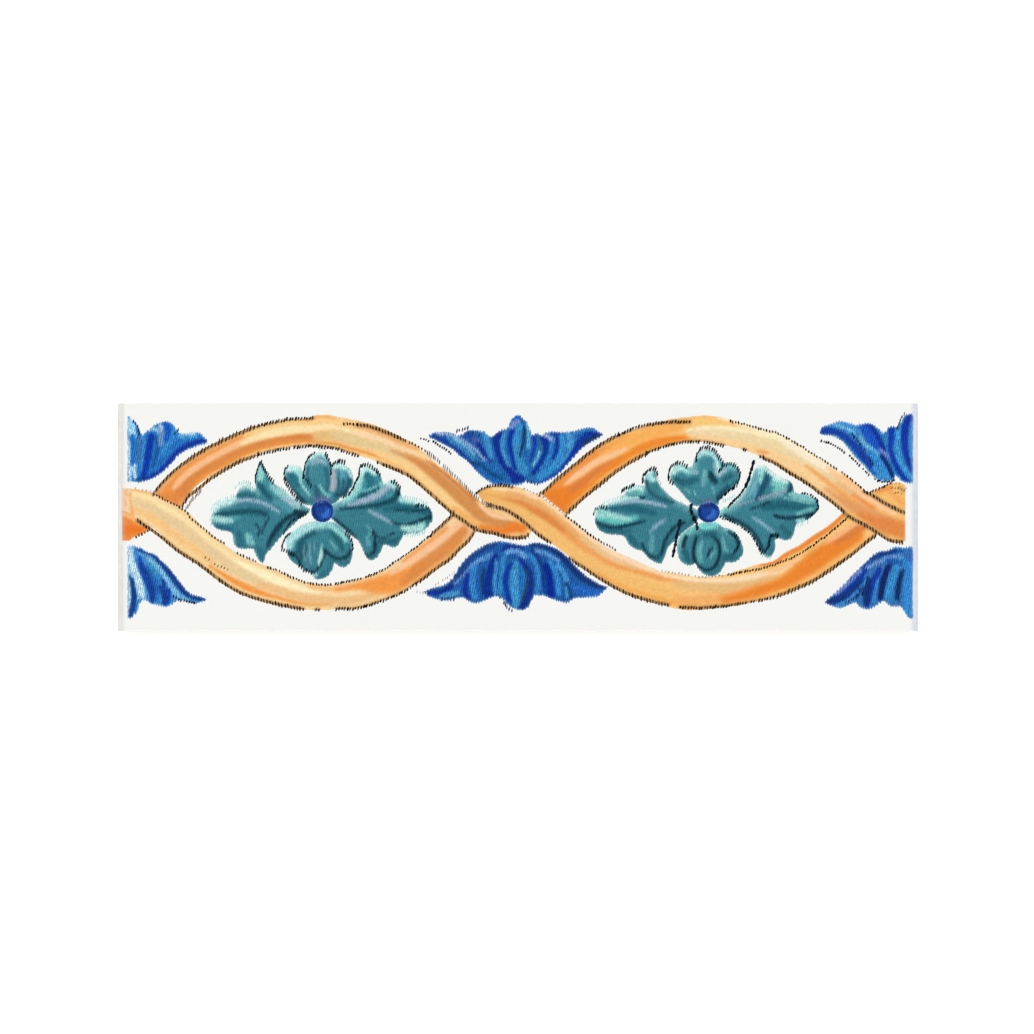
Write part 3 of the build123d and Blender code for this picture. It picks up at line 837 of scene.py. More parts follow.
# %% [markdown]
# ## Nodes written as Python
# Both the Geometry Nodes and the materials below are node trees. Placing nodes by hand is good for
# trying things, but a tree is easier to read as expressions, so this small class carries one
# socket from node to node, and arithmetic on it adds the Math nodes.


# %% A wire from one node to the next
class Wire:
    """A node's output on its way to other nodes of the same tree."""

    def __init__(self, tree, socket=None):
        self.tree, self.socket = tree, socket

    def node(self, kind, settings=None, inputs=None, output=0):
        """A new node's output: its settings are set first, then its sockets' values or wires."""
        made = self.tree.nodes.new(kind)
        for name, value in (settings or {}).items():
            setattr(made, name, value)
        for name, value in (inputs or {}).items():
            if isinstance(value, Wire):
                self.tree.links.new(value.socket, made.inputs[name])
            else:
                made.inputs[name].default_value = value
        return Wire(self.tree, made.outputs[output])

    def other(self, output):
        """Another output of the node that this wire comes from."""
        return Wire(self.tree, self.socket.node.outputs[output])

    def maths(self, operation, first, second=0.0):
        """What a Math node makes of one or two numbers or wires."""
        inputs = {0: first, 1: second}
        return self.node("ShaderNodeMath", {"operation": operation}, inputs)

    def __add__(self, other):
        return self.maths("ADD", self, other)

    def __sub__(self, other):
        return self.maths("SUBTRACT", self, other)

    def __rsub__(self, other):
        return self.maths("SUBTRACT", other, self)

    def __mul__(self, other):
        return self.maths("MULTIPLY", self, other)

    def __truediv__(self, other):
        return self.maths("DIVIDE", self, other)

    __radd__ = __add__


# %% Start and end a Geometry Nodes tree
def new_tree(name, **inputs):
    """A new Geometry Nodes tree with these inputs, and a wire from its Group Input."""
    tree = bpy.data.node_groups.new(name, "GeometryNodeTree")
    tree.interface.new_socket("Geometry", in_out="INPUT", socket_type="NodeSocketGeometry")
    for label, kind in inputs.items():
        title = label.replace("_", " ").capitalize()
        tree.interface.new_socket(title, in_out="INPUT", socket_type=f"NodeSocket{kind}")
    tree.interface.new_socket("Geometry", in_out="OUTPUT", socket_type="NodeSocketGeometry")
    return tree, Wire(tree).node("NodeGroupInput")


def end_tree(made, material):
    """Instances realised and the material set, as every tree here ends."""
    plain = made.node("GeometryNodeRealizeInstances", inputs={"Geometry": made})
    inputs = {"Geometry": plain, "Material": material}
    finished = made.node("GeometryNodeSetMaterial", inputs=inputs)
    made.tree.links.new(finished.socket, made.tree.nodes.new("NodeGroupOutput").inputs[0])


# %% Run a tree and keep its plain mesh
def run_tree(tree, mesh, values):
    """The plain mesh that the tree makes of this one, with its inputs given by their titles."""
    carrier = bpy.data.objects.new(tree.name, mesh)
    bpy.context.scene.collection.objects.link(carrier)
    modifier = carrier.modifiers.new(tree.name, "NODES")
    modifier.node_group = tree
    for item in tree.interface.items_tree:
        if item.in_out == "INPUT" and item.name in values:
            modifier[item.identifier] = values[item.name]
    bpy.context.view_layer.update()
    evaluated = carrier.evaluated_get(bpy.context.evaluated_depsgraph_get())
    made = bpy.data.meshes.new_from_object(evaluated)
    bpy.data.objects.remove(carrier)
    return made


def places(mesh):
    """The x and y of every vertex."""
    flat = np.zeros(len(mesh.vertices) * 3, np.float32)
    mesh.vertices.foreach_get("co", flat)
    return flat.reshape(-1, 3)[:, :2].astype(float)


def line_mesh(name, lines):
    """A mesh of plain edges through each line's points."""
    points = np.vstack(lines)[:, :2]
    edges, start = [], 0
    for line in lines:
        edges += [(i, i + 1) for i in range(start, start + len(line) - 1)]
        start += len(line)
    mesh = bpy.data.meshes.new(name)
    mesh.from_pydata([(x, y, 0) for x, y in points], edges, [])
    return mesh


# %% [markdown]
# ## Ribbons
# Two ribbons swing round the rosettes and cross between them. A ribbon's two edges aren't
# parallel, as they would be round one centre line, because the painter drew it swelling in the
# loops. So each is a grid stretched between two rails: a Geometry Nodes tree samples both rails
# at the same share of their length and fills in the points across.

# %% The tree that stretches a grid between two rails
ribbon_tree, group = new_tree(
    "ribbon_between_rails",
    upper_rail="Object",
    lower_rail="Object",
    points_along="Int",
    points_across="Int",
    glaze="Material",
)
size = {"Size X": 1.0, "Size Y": 1.0}
counts = {"Vertices X": group.other("Points along"), "Vertices Y": group.other("Points across")}
sheet = group.node("GeometryNodeMeshGrid", inputs=size | counts)
spot = group.node("ShaderNodeSeparateXYZ", inputs={0: group.node("GeometryNodeInputPosition")})
along, across = spot + 0.5, 0.5 - spot.other("Y")
on_rails = []
for rail in ("Upper rail", "Lower rail"):
    shown = group.node("GeometryNodeObjectInfo", inputs={"Object": group.other(rail)}, output=4)
    curve = group.node("GeometryNodeMeshToCurve", inputs={"Mesh": shown})
    wanted = {"Curves": curve, "Factor": along}
    on_rail = group.node("GeometryNodeSampleCurve", {"mode": "FACTOR"}, wanted, "Position")
    on_rails.append(on_rail)
stretched = {0: across, 4: on_rails[0], 5: on_rails[1]}
target = group.node("ShaderNodeMix", {"data_type": "VECTOR"}, stretched, output=1)
placed = group.node("GeometryNodeSetPosition", inputs={"Geometry": sheet, "Position": target})
end_tree(placed, group.other("Glaze"))
print(ribbon_tree.name, "nodes:", len(ribbon_tree.nodes))


# %% Find the rim of a mesh, and points between two rails
def rim_of(bm):
    """The indices of the vertices round a mesh's one open edge, as its faces run."""
    follow = {}
    for edge in bm.edges:
        if edge.is_boundary:
            corner = edge.link_loops[0]
            follow[corner.vert.index] = corner.link_loop_next.vert.index
    order = [min(follow)]
    while follow[order[-1]] != order[0]:
        order.append(follow[order[-1]])
    return order


def between(rails):
    """The longer rail's length, and what turns 'millimetres along, share across' into x and y."""
    reaches = [np.cumsum([0, *np.linalg.norm(np.diff(rail, axis=0), axis=1)]) for rail in rails]
    longest = max(reach[-1] for reach in reaches)

    def place(points):
        ends = []
        for rail, reach in zip(rails, reaches):
            along = points[:, 0] / longest * reach[-1]
            sides = [np.interp(along, reach, rail[:, axis]) for axis in (0, 1)]
            ends.append(np.column_stack(sides))
        return ends[0] + points[:, 1:2] * (ends[1] - ends[0])

    return longest, place


# %% Stretch a ribbon and paint it
painted_glaze = bpy.data.materials.new("painted_glaze")  # its nodes come later
CELL_ALONG = 0.55
CELL_ACROSS = 0.36
RIBBON_FRAY = 0.2
RIBBON = {"comb": 0.025, "rim": 0.2, "soft": 1.7}


def ribbon(name, upper, lower, width, ground, strokes):
    """A ribbon between two rails, about this wide, with streaks of 'along, share across, width'."""
    rails = [flowing(read_points(text), OUTLINE_STEP) for text in (upper, lower)]
    longest, place = between(rails)
    carriers = []
    for rail in rails:
        carriers.append(bpy.data.objects.new(name, line_mesh(name, [rail])))
        bpy.context.scene.collection.objects.link(carriers[-1])
    values = {
        "Upper rail": carriers[0],
        "Lower rail": carriers[1],
        "Glaze": painted_glaze,
        "Points along": round(longest / CELL_ALONG),
        "Points across": round(width / CELL_ACROSS),
    }
    mesh = run_tree(ribbon_tree, bpy.data.meshes.new(name), values)
    for carrier in carriers:
        bpy.data.objects.remove(carrier)
    bm = bmesh.new()
    bm.from_mesh(mesh)
    rim = rim_of(bm)
    bm.free()
    points = places(mesh)
    loop = frayed(wound_left(points[rim]), RIBBON_FRAY, len(motifs))
    motif = paint_motif(name, loop, ground, strokes, **RIBBON, place=place)
    motif["inner"] = np.delete(points, rim, axis=0)


# %% The end of the ribbon at the left
paint_motif(
    "ribbon_tail_left",
    """
-98.9 2, -97 1.2, -95 0, -93 -1.8, -92.3 -3.3 / -92.3 -3.3, -94 -4.2, -96 -5, -97 -5.8, -98.9 -5.8
/ -98.9 -5.8, -98.9 -2
""",
    (240, 140, 66),
    """
250 190 120 > -98.5 1 1.2, -96 -.3, -94 -1.8 1
236 122 42 > -98.5 -3.2 2.4, -96 -3, -94 -3 1.4
""",
    **RIBBON,
)

# %% The ribbon above the left rosette
ribbon(
    "ribbon_left_over",
    """
-91.6 5.2, -90.5 6.5, -88 9.3, -85 12.3, -80 15.9, -75 18.6, -70 20.9, -65 22.9, -60 24, -57 24.6,
-53 24.8, -50 25.6, -47 25.6, -44 25, -40 24.2, -36 23.2, -33 22, -30 20.5, -27 19, -25 17.7,
-22 15, -20 13.2, -18 11.7, -15 9.2, -13 7.4, -11.5 6, -10 4.6, -8.5 3.5, -7 2.6, -3 1.8, 0 0,
2.5 -2, 3.5 -2.8
""",
    """
-84.3 1.7, -82.5 5, -80 8, -77 10, -72.5 12.3, -70 13.7, -65 15.8, -60 17, -57 17.5, -52 17.9,
-48 17.5, -45 17, -42 16, -40 15.5, -35 13.8, -30 11.6, -27 10.2, -25 8.6, -22 6, -20 4.3, -18 2.6,
-16 .7, -14 -.6, -12 -2, -10.3 -3.2, -9 -3.5, -6 -4.2, -3 -4.9, 0 -5.1, 2 -4.9, 3 -4.3, 3.5 -3.2
""",
    8,
    (248, 203, 140),
    """
229 135 66 > 0 .5 7, 2.5 .55 5.5, 5 .75 3.4, 9 .75 2.6
240 150 78 > 3 .22 1.6, 10 .2 1.6, 22 .2 1.2, 30 .15 .8
220 134 68 > 5 .7 2.4, 15 .68 2.6, 25 .68 2.4, 35 .68 2.2, 43 .66 2, 47 .62 1.2
236 146 66 > 9 .86 .9, 20 .83 1, 33 .84 .9, 45 .85 .8, 54 .86 .8, 61 .86 .8, 66 .86 .6, 70 .87 .3
243 172 88 > 64 .9 .4, 70 .9 .6, 77 .91 .6, 84 .92 .5
253 212 142 > 12 .94 .5, 25 .93 .5, 45 .93 .5, 56 .94 .6, 66 .93 .6
250 190 142 > 4.6 .42 1, 9 .4 1.4, 16 .38 1.3, 24 .36 1.2, 29 .38 1
253 230 178 > 26 .4 .8, 33 .38 2, 42 .38 2.1, 50 .38 1.8, 58 .36 1.4, 66 .33 .9
250 208 138 > 28 .15 .9, 40 .14 1, 52 .15 1, 58 .14 .5
246 178 106 > 44.5 .06 .8, 48 .05 .9, 52 .07 .7
240 176 114 > 54 .16 .5, 59 .17 1, 65 .18 1.1, 70 .15 1.1, 74 .08 .9
230 190 128 > 45 .62 2.4, 50 .6 2.8, 55 .58 2.4
229 202 148 > 50 .55 1.6, 56 .58 2.4, 64 .55 2.2, 70 .5 1.6
211 140 78 > 66 .52 .3, 69 .49 .8, 73 .44 1.9, 78 .38 3, 84 .38 3.2, 90 .4 3.4, 96 .45 3.6,
    101 .5 3, 104 .5 2.4
250 208 142 > 62 .76 1.6, 70 .76 2.2, 78 .76 2.6, 86 .78 2, 91 .8 1.4
246 176 96 > 86 .82 1, 91 .82 1.4, 95 .84 1
251 204 160 > 95 .14 .9, 98 .26 1.2, 101 .3 1.2, 103.5 .24 .8
236 128 48 > 95 .86 1.2, 99 .82 1.8, 102 .74 2.2, 104.5 .55 2.6, 106.5 .5 2.4
206 124 68 > 77 .16 .3, 81 .11 .7, 88 .12 .8, 93 .14 .8
252 212 170 > 55 .36 .6, 60 .35 1.1, 66.6 .33 .9, 71 .28 .8, 75 .18 .7, 78 .09 .4
""",
)

# %% The ribbon below the left rosette
ribbon(
    "ribbon_left_under",
    """
-98.9 7.4, -96 7.2, -93 6.6, -91 6.2, -90 5.3, -88 4.2, -85 2.9, -82 1, -80 -1, -78 -3, -75 -5.3,
-73.5 -6.5, -70 -9, -67 -10.5, -63 -12, -60 -13.3, -55 -15.6, -50 -16.6, -47 -16.8, -45 -16.6,
-40 -15.4, -35 -13.7, -30 -10.7, -25 -7, -21 -3.7, -19 -1.8, -17.5 -.4, -15.9 .8
""",
    """
-98.9 1.8, -97 1, -95 -.6, -92 -2.3, -90 -3.5, -88 -5.5, -85 -8, -80 -11.5, -75 -15, -70 -18.3,
-65 -20.3, -60 -21.5, -54 -23, -50 -23.2, -45 -23, -40 -22.7, -35 -21.2, -30 -19.2, -25 -16.2,
-20 -12.5, -17 -10.4, -15 -8.5, -13.5 -7, -12 -5, -10.2 -2.9
""",
    8.5,
    (246, 210, 158),
    """
251 206 164 > .8 .1 1.8, .8 .9 1.8
242 172 106 > .9 .12 .4, 1.3 .3 .4
242 172 106 > 2.2 .2 .4, 2 .42 .5, 2.4 .6 .4
242 172 106 > .7 .5 .4, 1.1 .72 .4
240 160 90 > 2.6 .7 .5, 2.9 .97 .9
250 222 184 > 1.5 .4 .5, 1.6 .75 .5
245 178 108 > 3 .04 .7, 8 .03 .6
253 228 172 > 3.5 .17 1, 12 .2 1.4, 22 .22 1.4, 32 .22 1.4, 40 .24 1.8, 46 .3 2.2
255 242 198 > 36 .24 1, 42 .28 1.8, 48 .34 2.4, 54 .36 2.4, 59 .36 1.4
231 203 154 > 4 .48 1.6, 12 .46 2.2, 22 .46 2.4, 32 .46 2.6, 40 .5 2.4, 45 .58 1.6
246 198 130 > 4 .7 1.2, 12 .72 1.8, 20 .72 1.8, 28 .7 1.4
242 150 66 > 27 .86 .6, 31 .84 1.2, 36 .8 1.6, 41 .82 1.6, 45 .84 1, 52 .8 .9, 60 .78 .8
253 216 148 > 5 .92 .6, 18 .92 .6, 30 .93 .5, 44 .93 .5, 60 .93 .6, 75 .93 .6
238 190 132 > 42 .62 1.6, 50 .6 2.4, 58 .62 2.6, 66 .66 2.4, 72 .72 1.6
247 190 124 > 57 .14 1, 63 .2 1.2, 69 .26 1.2
251 216 164 > 61 .36 1.2, 66 .4 1.4, 71 .48 .9
244 150 68 > 64 .2 .7, 69 .22 1.4, 74 .42 4, 78 .56 5.2, 82 .6 4, 86 .62 3
222 138 72 > 80 .76 1.6, 84 .68 3, 90 .66 3.6, 96 .68 3.6, 100 .66 3.2
244 156 84 > 84 .14 1, 90 .14 1.2, 98 .2 1.2
250 196 152 > 79 .26 .8, 84 .28 1.4, 90 .28 1.6, 96 .34 1.6, 101 .42 1.6
250 184 96 > 76 .93 .5, 88 .93 .6, 98 .93 .5
""",
)

# %% The end of the ribbon at the right
paint_motif(
    "ribbon_tail_right",
    """
87.6 5.6, 88 5.9, 89 6.8, 91 7.6, 93 8.5, 94.5 8.8, 96 8.5, 96.8 8 / 96.8 8, 96.8 4.5, 96.8 1.2 /
96.8 1.2, 95.5 1.6, 94 2.4, 92 3.3, 90 4.4, 89 4.9
""",
    (248, 190, 112),
    """
244 172 96 > 93 6.5 1.4, 94.5 5, 96 3.5 1.6
205 160 110 > 95.4 7.4 .8, 96.4 6.6 .8
240 150 76 > 90 6.4 1, 93 7.6 1
""",
    **RIBBON,
)

# %% The ribbon below the right rosette
ribbon(
    "ribbon_right_under",
    """
-10.3 6.3, -10 6.7, -8 7.6, -5 8, -1 7.8, .5 7.5, 3 6.3, 5.5 5.6, 7 4.4, 9 3, 10.5 1.7, 12 .6,
12.7 0, 13.7 -.8, 15 -2, 17 -3.5, 18.5 -4.7, 20 -5.8, 22 -7.2, 24 -8.3, 26 -9.2, 28 -10, 30 -11,
33 -12.3, 35 -13.2, 38 -13.8, 41 -14.3, 44 -14.7, 47 -14.9, 50 -14.6, 53 -13.9, 55 -13.2, 57 -12.6,
59 -11.9, 62 -11.3, 64 -10.7, 66 -9.2, 68 -8, 70 -7, 72 -5.6, 74 -4.2, 76 -3, 78 -1.6, 80 .2,
81.2 1.2, 84.6 .6
""",
    """
-9.5 4.8, -8 3.4, -7.5 3.2, -5 2.4, -3 1.8, 0 0, 2.5 -2, 5 -4.3, 8 -6.3, 10 -7.8, 13 -10, 15 -11.7,
17 -13, 20 -15, 22 -16.2, 24 -17.4, 26 -18.4, 28 -19.3, 30 -20, 32 -20.6, 34 -21.2, 36 -21.8,
38 -22.5, 40 -22.9, 43 -23.2, 46 -23.1, 49 -22.8, 52 -22.4, 55 -22, 57 -21.6, 60 -20.9, 62 -20.4,
65 -19.4, 68 -18.4, 70 -17.7, 72 -16.7, 74 -15.7, 76 -14.6, 78 -13.2, 80 -11.7, 82 -10.2, 84 -8.8,
86 -7.3, 87 -6.3, 88 -5.4, 90.6 -3.7
""",
    8.5,
    (248, 196, 122),
    """
238 178 100 > 1 .5 2, 4 .5 2.6, 8 .45 2.4
250 220 172 > 5 .14 .8, 10 .14 1.2, 16 .12 1
251 218 186 > 14 .06 .9, 24 .08 1, 34 .08 1.4, 44 .08 1.6, 52 .08 1.6, 57 .08 1
233 172 108 > 9 .3 1.6, 16 .28 2, 24 .3 2, 30 .3 1.8, 36 .28 1.4
224 136 68 > 6 .62 .8, 10 .54 1.6, 15 .47 2, 21 .44 2, 26 .46 1.6, 30 .5 1
238 160 90 > 26 .5 1.4, 33 .48 1.6, 40 .42 1.6, 47 .32 1.3, 55 .22 1.4, 61 .16 1.2
235 196 146 > 32 .26 .8, 40 .24 1.2, 48 .2 .8
243 188 111 > 5 .74 1.6, 12 .74 2.4, 20 .74 2.6, 30 .74 2.8, 42 .68 3, 52 .6 2.8, 58 .6 2
245 172 84 > 36 .88 .7, 46 .86 .9, 56 .84 1.4, 62 .8 2
252 226 190 > 57 .1 .8, 64 .11 1.2, 70 .14 1.4, 75 .24 1.6, 80 .32 1.8, 84 .34 1.2, 90 .36 .9
232 186 126 > 59 .3 1.4, 66 .32 2.2, 72 .4 2.4, 78 .48 2, 84 .48 1.6
243 174 104 > 58 .74 2, 66 .72 2.6, 74 .72 3, 80 .68 3.2
236 131 46 > 70 .76 1.4, 76 .74 2.4, 84 .72 3, 90 .64 4, 96 .58 5, 102 .6 4.6, 108 .66 4
250 198 148 > 84 .3 .7, 88 .32 1, 93 .33 .7
238 132 56 > 83 .03 .6, 88 .06 1.1, 96 .08 1.2, 104 .07 1.2, 110 .06 1
250 184 138 > 101 .36 .7, 105 .38 1.2, 109 .46 1.1, 111 .5 .8
218 128 64 > 103 .52 1.2, 107 .56 1.8, 111 .6 1.6
249 190 110 > 60 .92 .5, 75 .93 .5, 92 .93 .5, 106 .93 .5
""",
)

# %% The ribbon above the right rosette
ribbon(
    "ribbon_right_over",
    """
5.5 6, 7 7.3, 8.5 8.5, 10 9.8, 12 11.5, 14 13.3, 16 15, 18 16.6, 20 17.7, 22 18.8, 25 20.5,
27 21.3, 30 22.4, 33 23.3, 36 24, 38 24.5, 40 24.8, 43 25.2, 46 25.5, 49 25.3, 52 24.8, 55 23.9,
58 23, 60 22.3, 62 21.8, 65 20.9, 67 20, 69 18.8, 71 17.6, 73 16.3, 75 15.1, 77 13.8, 79 12.5,
81 11.1, 83 9.6, 85 8, 86.5 6.8, 88 5.9, 89 5.2, 90 4.4, 92 3.3, 94 2.4, 95.5 1.6, 96.8 1.1
""",
    """
12 .7, 12.5 1, 13.5 2.2, 15 3.6, 16.5 4.8, 18 6.2, 19.3 6.9, 20.5 8.2, 22 9.6, 24 11, 26 12.3,
28 13.7, 30 14.9, 32 15.9, 34 16.7, 36 17.5, 38 18, 40 18.5, 42 18.8, 44 18.9, 46 18.9, 48 18.6,
50 18.2, 53 17.7, 55 17.2, 57 16.6, 59 15.9, 60.5 15.1, 62 14.4, 64 13.6, 66 12.3, 68 11, 70 9.8,
72 8.6, 74 7, 76 5.6, 78 4, 80 2.6, 81.5 1.5, 82.8 .3, 84 -.3, 85 -.8, 86.5 -1.8, 88 -2.9, 90 -4,
92 -5.2, 94 -6, 96.8 -6
""",
    8,
    (249, 194, 118),
    """
234 126 42 > 0 .5 8, 2.5 .5 7.2, 5 .6 4.6, 9 .68 2.6
241 144 66 > 4 .16 2, 12 .18 1.8, 20 .2 1.6, 26 .2 1
249 176 92 > 18 .3 1.6, 26 .32 3, 33 .34 3, 39 .36 1.8
222 126 62 > 6 .56 1.8, 11 .6 2.2, 16 .66 2, 21 .72 1.4
239 136 46 > 4 .8 1.4, 12 .82 1.2, 20 .78 1.8, 28 .74 2.2, 34 .78 1.8, 39 .82 1
249 176 92 > 4 .9 .5, 16 .9 .5, 26 .92 .5
252 198 154 > 6 .3 .7, 10 .3 1.3, 15 .38 1.3, 20 .46 1.2, 23.6 .54 .8
252 202 124 > 42 .2 1.2, 47 .2 2, 52 .14 1
255 243 200 > 40.4 .52 .8, 44 .48 1.4, 49 .42 1.6, 54 .34 1.8, 60 .22 1.6, 68 .16 1.3, 76 .15 1,
    82 .15 .7
238 216 170 > 40.4 .66 1.4, 46 .64 2.4, 52 .6 2.8, 58 .5 3, 66 .42 3.2, 74 .36 2.6, 82 .34 1.6
250 210 152 > 42 .88 1.4, 52 .86 2, 60 .8 2.6, 70 .76 3, 80 .8 2.6, 86 .84 1.6
252 238 212 > 67 .2 1.2, 73 .2 1.5, 80 .2 1
254 242 208 > 50 .04 .5, 56 .05 1, 62 .05 1.1, 70 .05 1.1, 78 .05 1, 84 .05 .5
241 164 94 > 58 .82 .6, 60 .77 1, 61 .74 .7
240 168 98 > 73 .48 .6, 77 .5 1, 82 .55 1.2, 88 .56 1.6
228 156 98 > 79 .76 .8, 84 .74 2, 89 .68 3, 94 .6 3.6, 99 .6 4
226 184 138 > 83 .36 .9, 88 .34 1, 91 .34 .8
228 136 70 > 90 .8 1.6, 95 .7 2.8, 99 .6 4, 103 .6 4.6
252 202 160 > 80 .14 .9, 87 .16 1.1, 94 .15 1.1, 101 .14 1
238 148 84 > 88 .38 .8, 91 .36 1, 94 .34 1.2
248 188 104 > 84 .94 .5, 95 .94 .5
""",
)

# %% [markdown]
# ## Ticks of ink
# The ribbons are edged with short slanting dashes, like the lay of a rope, and the leaves with
# finer ones. Rows that climb to the right have the longest dashes, which slant a little. In level
# rows they're short, and in falling rows nearly upright. A thin brown wash runs under the slanting
# rows. There are well over a thousand dashes, so a Geometry Nodes tree sets them out along their
# rows at an even pitch, turns each a little, drops a few where the print failed, and hands back
# flat shapes with eight sides.

# %% Start the tree that sets ticks along rows
tick_tree, group = new_tree(
    "ticks_along_rows",
    pitch="Float",
    length="Float",
    width="Float",
    lean="Float",
    keep="Float",
    flatten="Float",
    seed="Int",
    glaze="Material",
)


def uneven(kind, low, high, shift):
    """A random value for every tick, from the tree's seed and a shift of its own. For a yes or
    no, low is the share of yes."""
    made = group.node("FunctionNodeRandomValue", {"data_type": kind}).socket.node
    seed = group.other("Seed") + shift
    values = {"Min": low, "Max": high, "Probability": low, "Seed": seed}
    for socket in made.inputs:
        value = values.get(socket.name) if socket.enabled else None
        if isinstance(value, Wire):
            group.tree.links.new(value.socket, socket)
        elif value is not None:
            socket.default_value = value
    shown = next(socket for socket in made.outputs if socket.enabled)
    return Wire(group.tree, shown)


# %% Space the ticks along rows that are flattened for it and then raised again
spot = group.node("ShaderNodeSeparateXYZ", inputs={0: group.node("GeometryNodeInputPosition")})
noted = {"Geometry": group, "Name": "height", "Value": spot.other("Y")}
kept = group.node("GeometryNodeStoreNamedAttribute", {"data_type": "FLOAT"}, noted)
low = {"X": spot, "Y": spot.other("Y") * group.other("Flatten")}
lowered = {"Geometry": kept, "Position": group.node("ShaderNodeCombineXYZ", inputs=low)}
flat_rows = group.node("GeometryNodeSetPosition", inputs=lowered)
curves = group.node("GeometryNodeMeshToCurve", inputs={"Mesh": flat_rows})
spaced = {"Curve": curves, "Length": group.other("Pitch")}
stops = group.node("GeometryNodeResampleCurve", {"mode": "LENGTH"}, spaced)
height = group.node("GeometryNodeInputNamedAttribute", {"data_type": "FLOAT"}, {"Name": "height"})
raised = group.node("ShaderNodeCombineXYZ", inputs={"X": spot, "Y": height})
stops = group.node("GeometryNodeSetPosition", inputs={"Geometry": stops, "Position": raised})
shaken = {"X": uneven("FLOAT", -0.09, 0.09, 41), "Y": uneven("FLOAT", -0.12, 0.12, 53)}
shift = group.node("ShaderNodeCombineXYZ", inputs=shaken)
stops = group.node("GeometryNodeSetPosition", inputs={"Geometry": stops, "Offset": shift})

# %% Put a dash at every stop
disc = group.node("GeometryNodeMeshCircle", {"fill_type": "NGON"}, {"Vertices": 8, "Radius": 0.5})
turn = (group.other("Lean") + uneven("FLOAT", -7.0, 7.0, 11) - 90.0) * math.radians(1)
broad = group.other("Width") * uneven("FLOAT", 0.75, 1.2, 23)
tall = group.other("Length") * uneven("FLOAT", 0.72, 1.15, 37)
ticks = group.node(
    "GeometryNodeInstanceOnPoints",
    inputs={
        "Points": stops,
        "Selection": uneven("BOOLEAN", group.other("Keep"), None, 5),
        "Instance": disc,
        "Rotation": group.node("ShaderNodeCombineXYZ", inputs={"Z": turn}),
        "Scale": group.node("ShaderNodeCombineXYZ", inputs={"X": broad, "Y": tall, "Z": 1.0}),
    },
)
end_tree(ticks, group.other("Glaze"))
print(tick_tree.name, "nodes:", len(tick_tree.nodes))

# %% Set out ticks of one kind
ROW_STEP = 0.4
END_ROLL = 0.9  # the face rolls over this far in from the short ends
SIDE_ROLL = 0.4  # and this far in from the long sides
FACE_MARGIN = 0.2  # ticks stay this far inside the flat face
TICK_LIMIT = (highest.x / MM - END_ROLL - FACE_MARGIN, highest.y / MM - SIDE_ROLL - FACE_MARGIN)
SHADE_SPREAD = 14  # how much ticks of one ink differ in tone, of 255
TAPER_POINTS = 3  # a wash thins out over this many points at its ends
TAPERED = 0.3  # down to this share of its width
tick_loops, tick_inks = [], []


def add_wash(line, colour, half_width):
    """A thin brushed line, to lie under the ticks of a row."""
    along = np.gradient(line, axis=0)
    across = np.column_stack([-along[:, 1], along[:, 0]]) / np.linalg.norm(along, axis=1)[:, None]
    from_end = np.minimum(np.arange(len(line)), np.arange(len(line))[::-1])
    across = across * (half_width * np.clip(from_end / TAPER_POINTS, TAPERED, 1))[:, None]
    tick_loops.append(wound_left(np.vstack([line + across, (line - across)[::-1]])))
    tick_inks.append(np.array(colour, float))


def set_ticks(kind, ink, rows, pitch, length, width, lean, keep, flatten=0.35, wash=None):
    """Ticks of one kind along rows of points, one row to a line of text. They're spaced as if
    the rows were flattened by this share, since the screen's wires are even along the tile.
    Lean is the dash's slant in degrees, where 90 is upright, and keep the share that printed.
    A wash is a thin brushed line under them, given as its colour and half its width."""
    lines = [flowing(read_points(row), ROW_STEP) for row in lines_of(rows)]
    if wash:
        for line in lines:
            add_wash(line, *wash)
    sizes = {"Pitch": pitch, "Length": length, "Width": width, "Lean": lean, "Keep": keep}
    values = sizes | {"Flatten": flatten, "Seed": len(tick_loops) + 1, "Glaze": painted_glaze}
    mesh = run_tree(tick_tree, line_mesh(kind, lines), values)
    points = places(mesh)
    before = len(tick_loops)
    shades = np.random.default_rng(before).normal(0, SHADE_SPREAD, len(mesh.polygons))
    for polygon, shade in zip(mesh.polygons, shades):
        loop = wound_left(points[list(polygon.vertices)])
        if np.all(np.abs(loop) < TICK_LIMIT):
            tick_loops.append(loop)
            tick_inks.append(np.clip(np.array(ink) + shade, 0, 255))
    print(kind, "ticks:", len(tick_loops) - before)
    return lines


# %% Ticks along the ribbons that climb to the right
BARK = (52, 38, 26)
ROPE_WASH = ((174, 134, 90), 0.38)
rope_lines = set_ticks(
    "climbing_rope",
    BARK,
    """
-21.6 -4.2, -19 -1.9, -17 0, -16.2 .9
-91 6, -88.5 9, -85 12.3, -80 15.9, -75 18.6, -70 20.9, -65 22.9
-83.7 3, -82.5 5, -80 7, -77 9.5, -72.5 12.3, -70 13.7, -65 15.6
-25.2 -16.4, -20 -12.5, -17 -10.4, -15 -8.3, -12.5 -6, -10.5 -3
64 -20, 68 -18.4, 74 -15.7, 80 -11.7, 84 -8.8, 87 -6.3, 89.2 -4.6
5.5 5.8, 7 7, 10 9.8, 14 13, 18 16.3, 22 19, 25 20.6
12 .7, 15 3.6, 18 6.2, 20.5 8.2, 24 11, 28 13.7, 32 15.9
""",
    pitch=0.88, length=1.85, width=0.41, lean=75, keep=0.99, wash=ROPE_WASH,
)

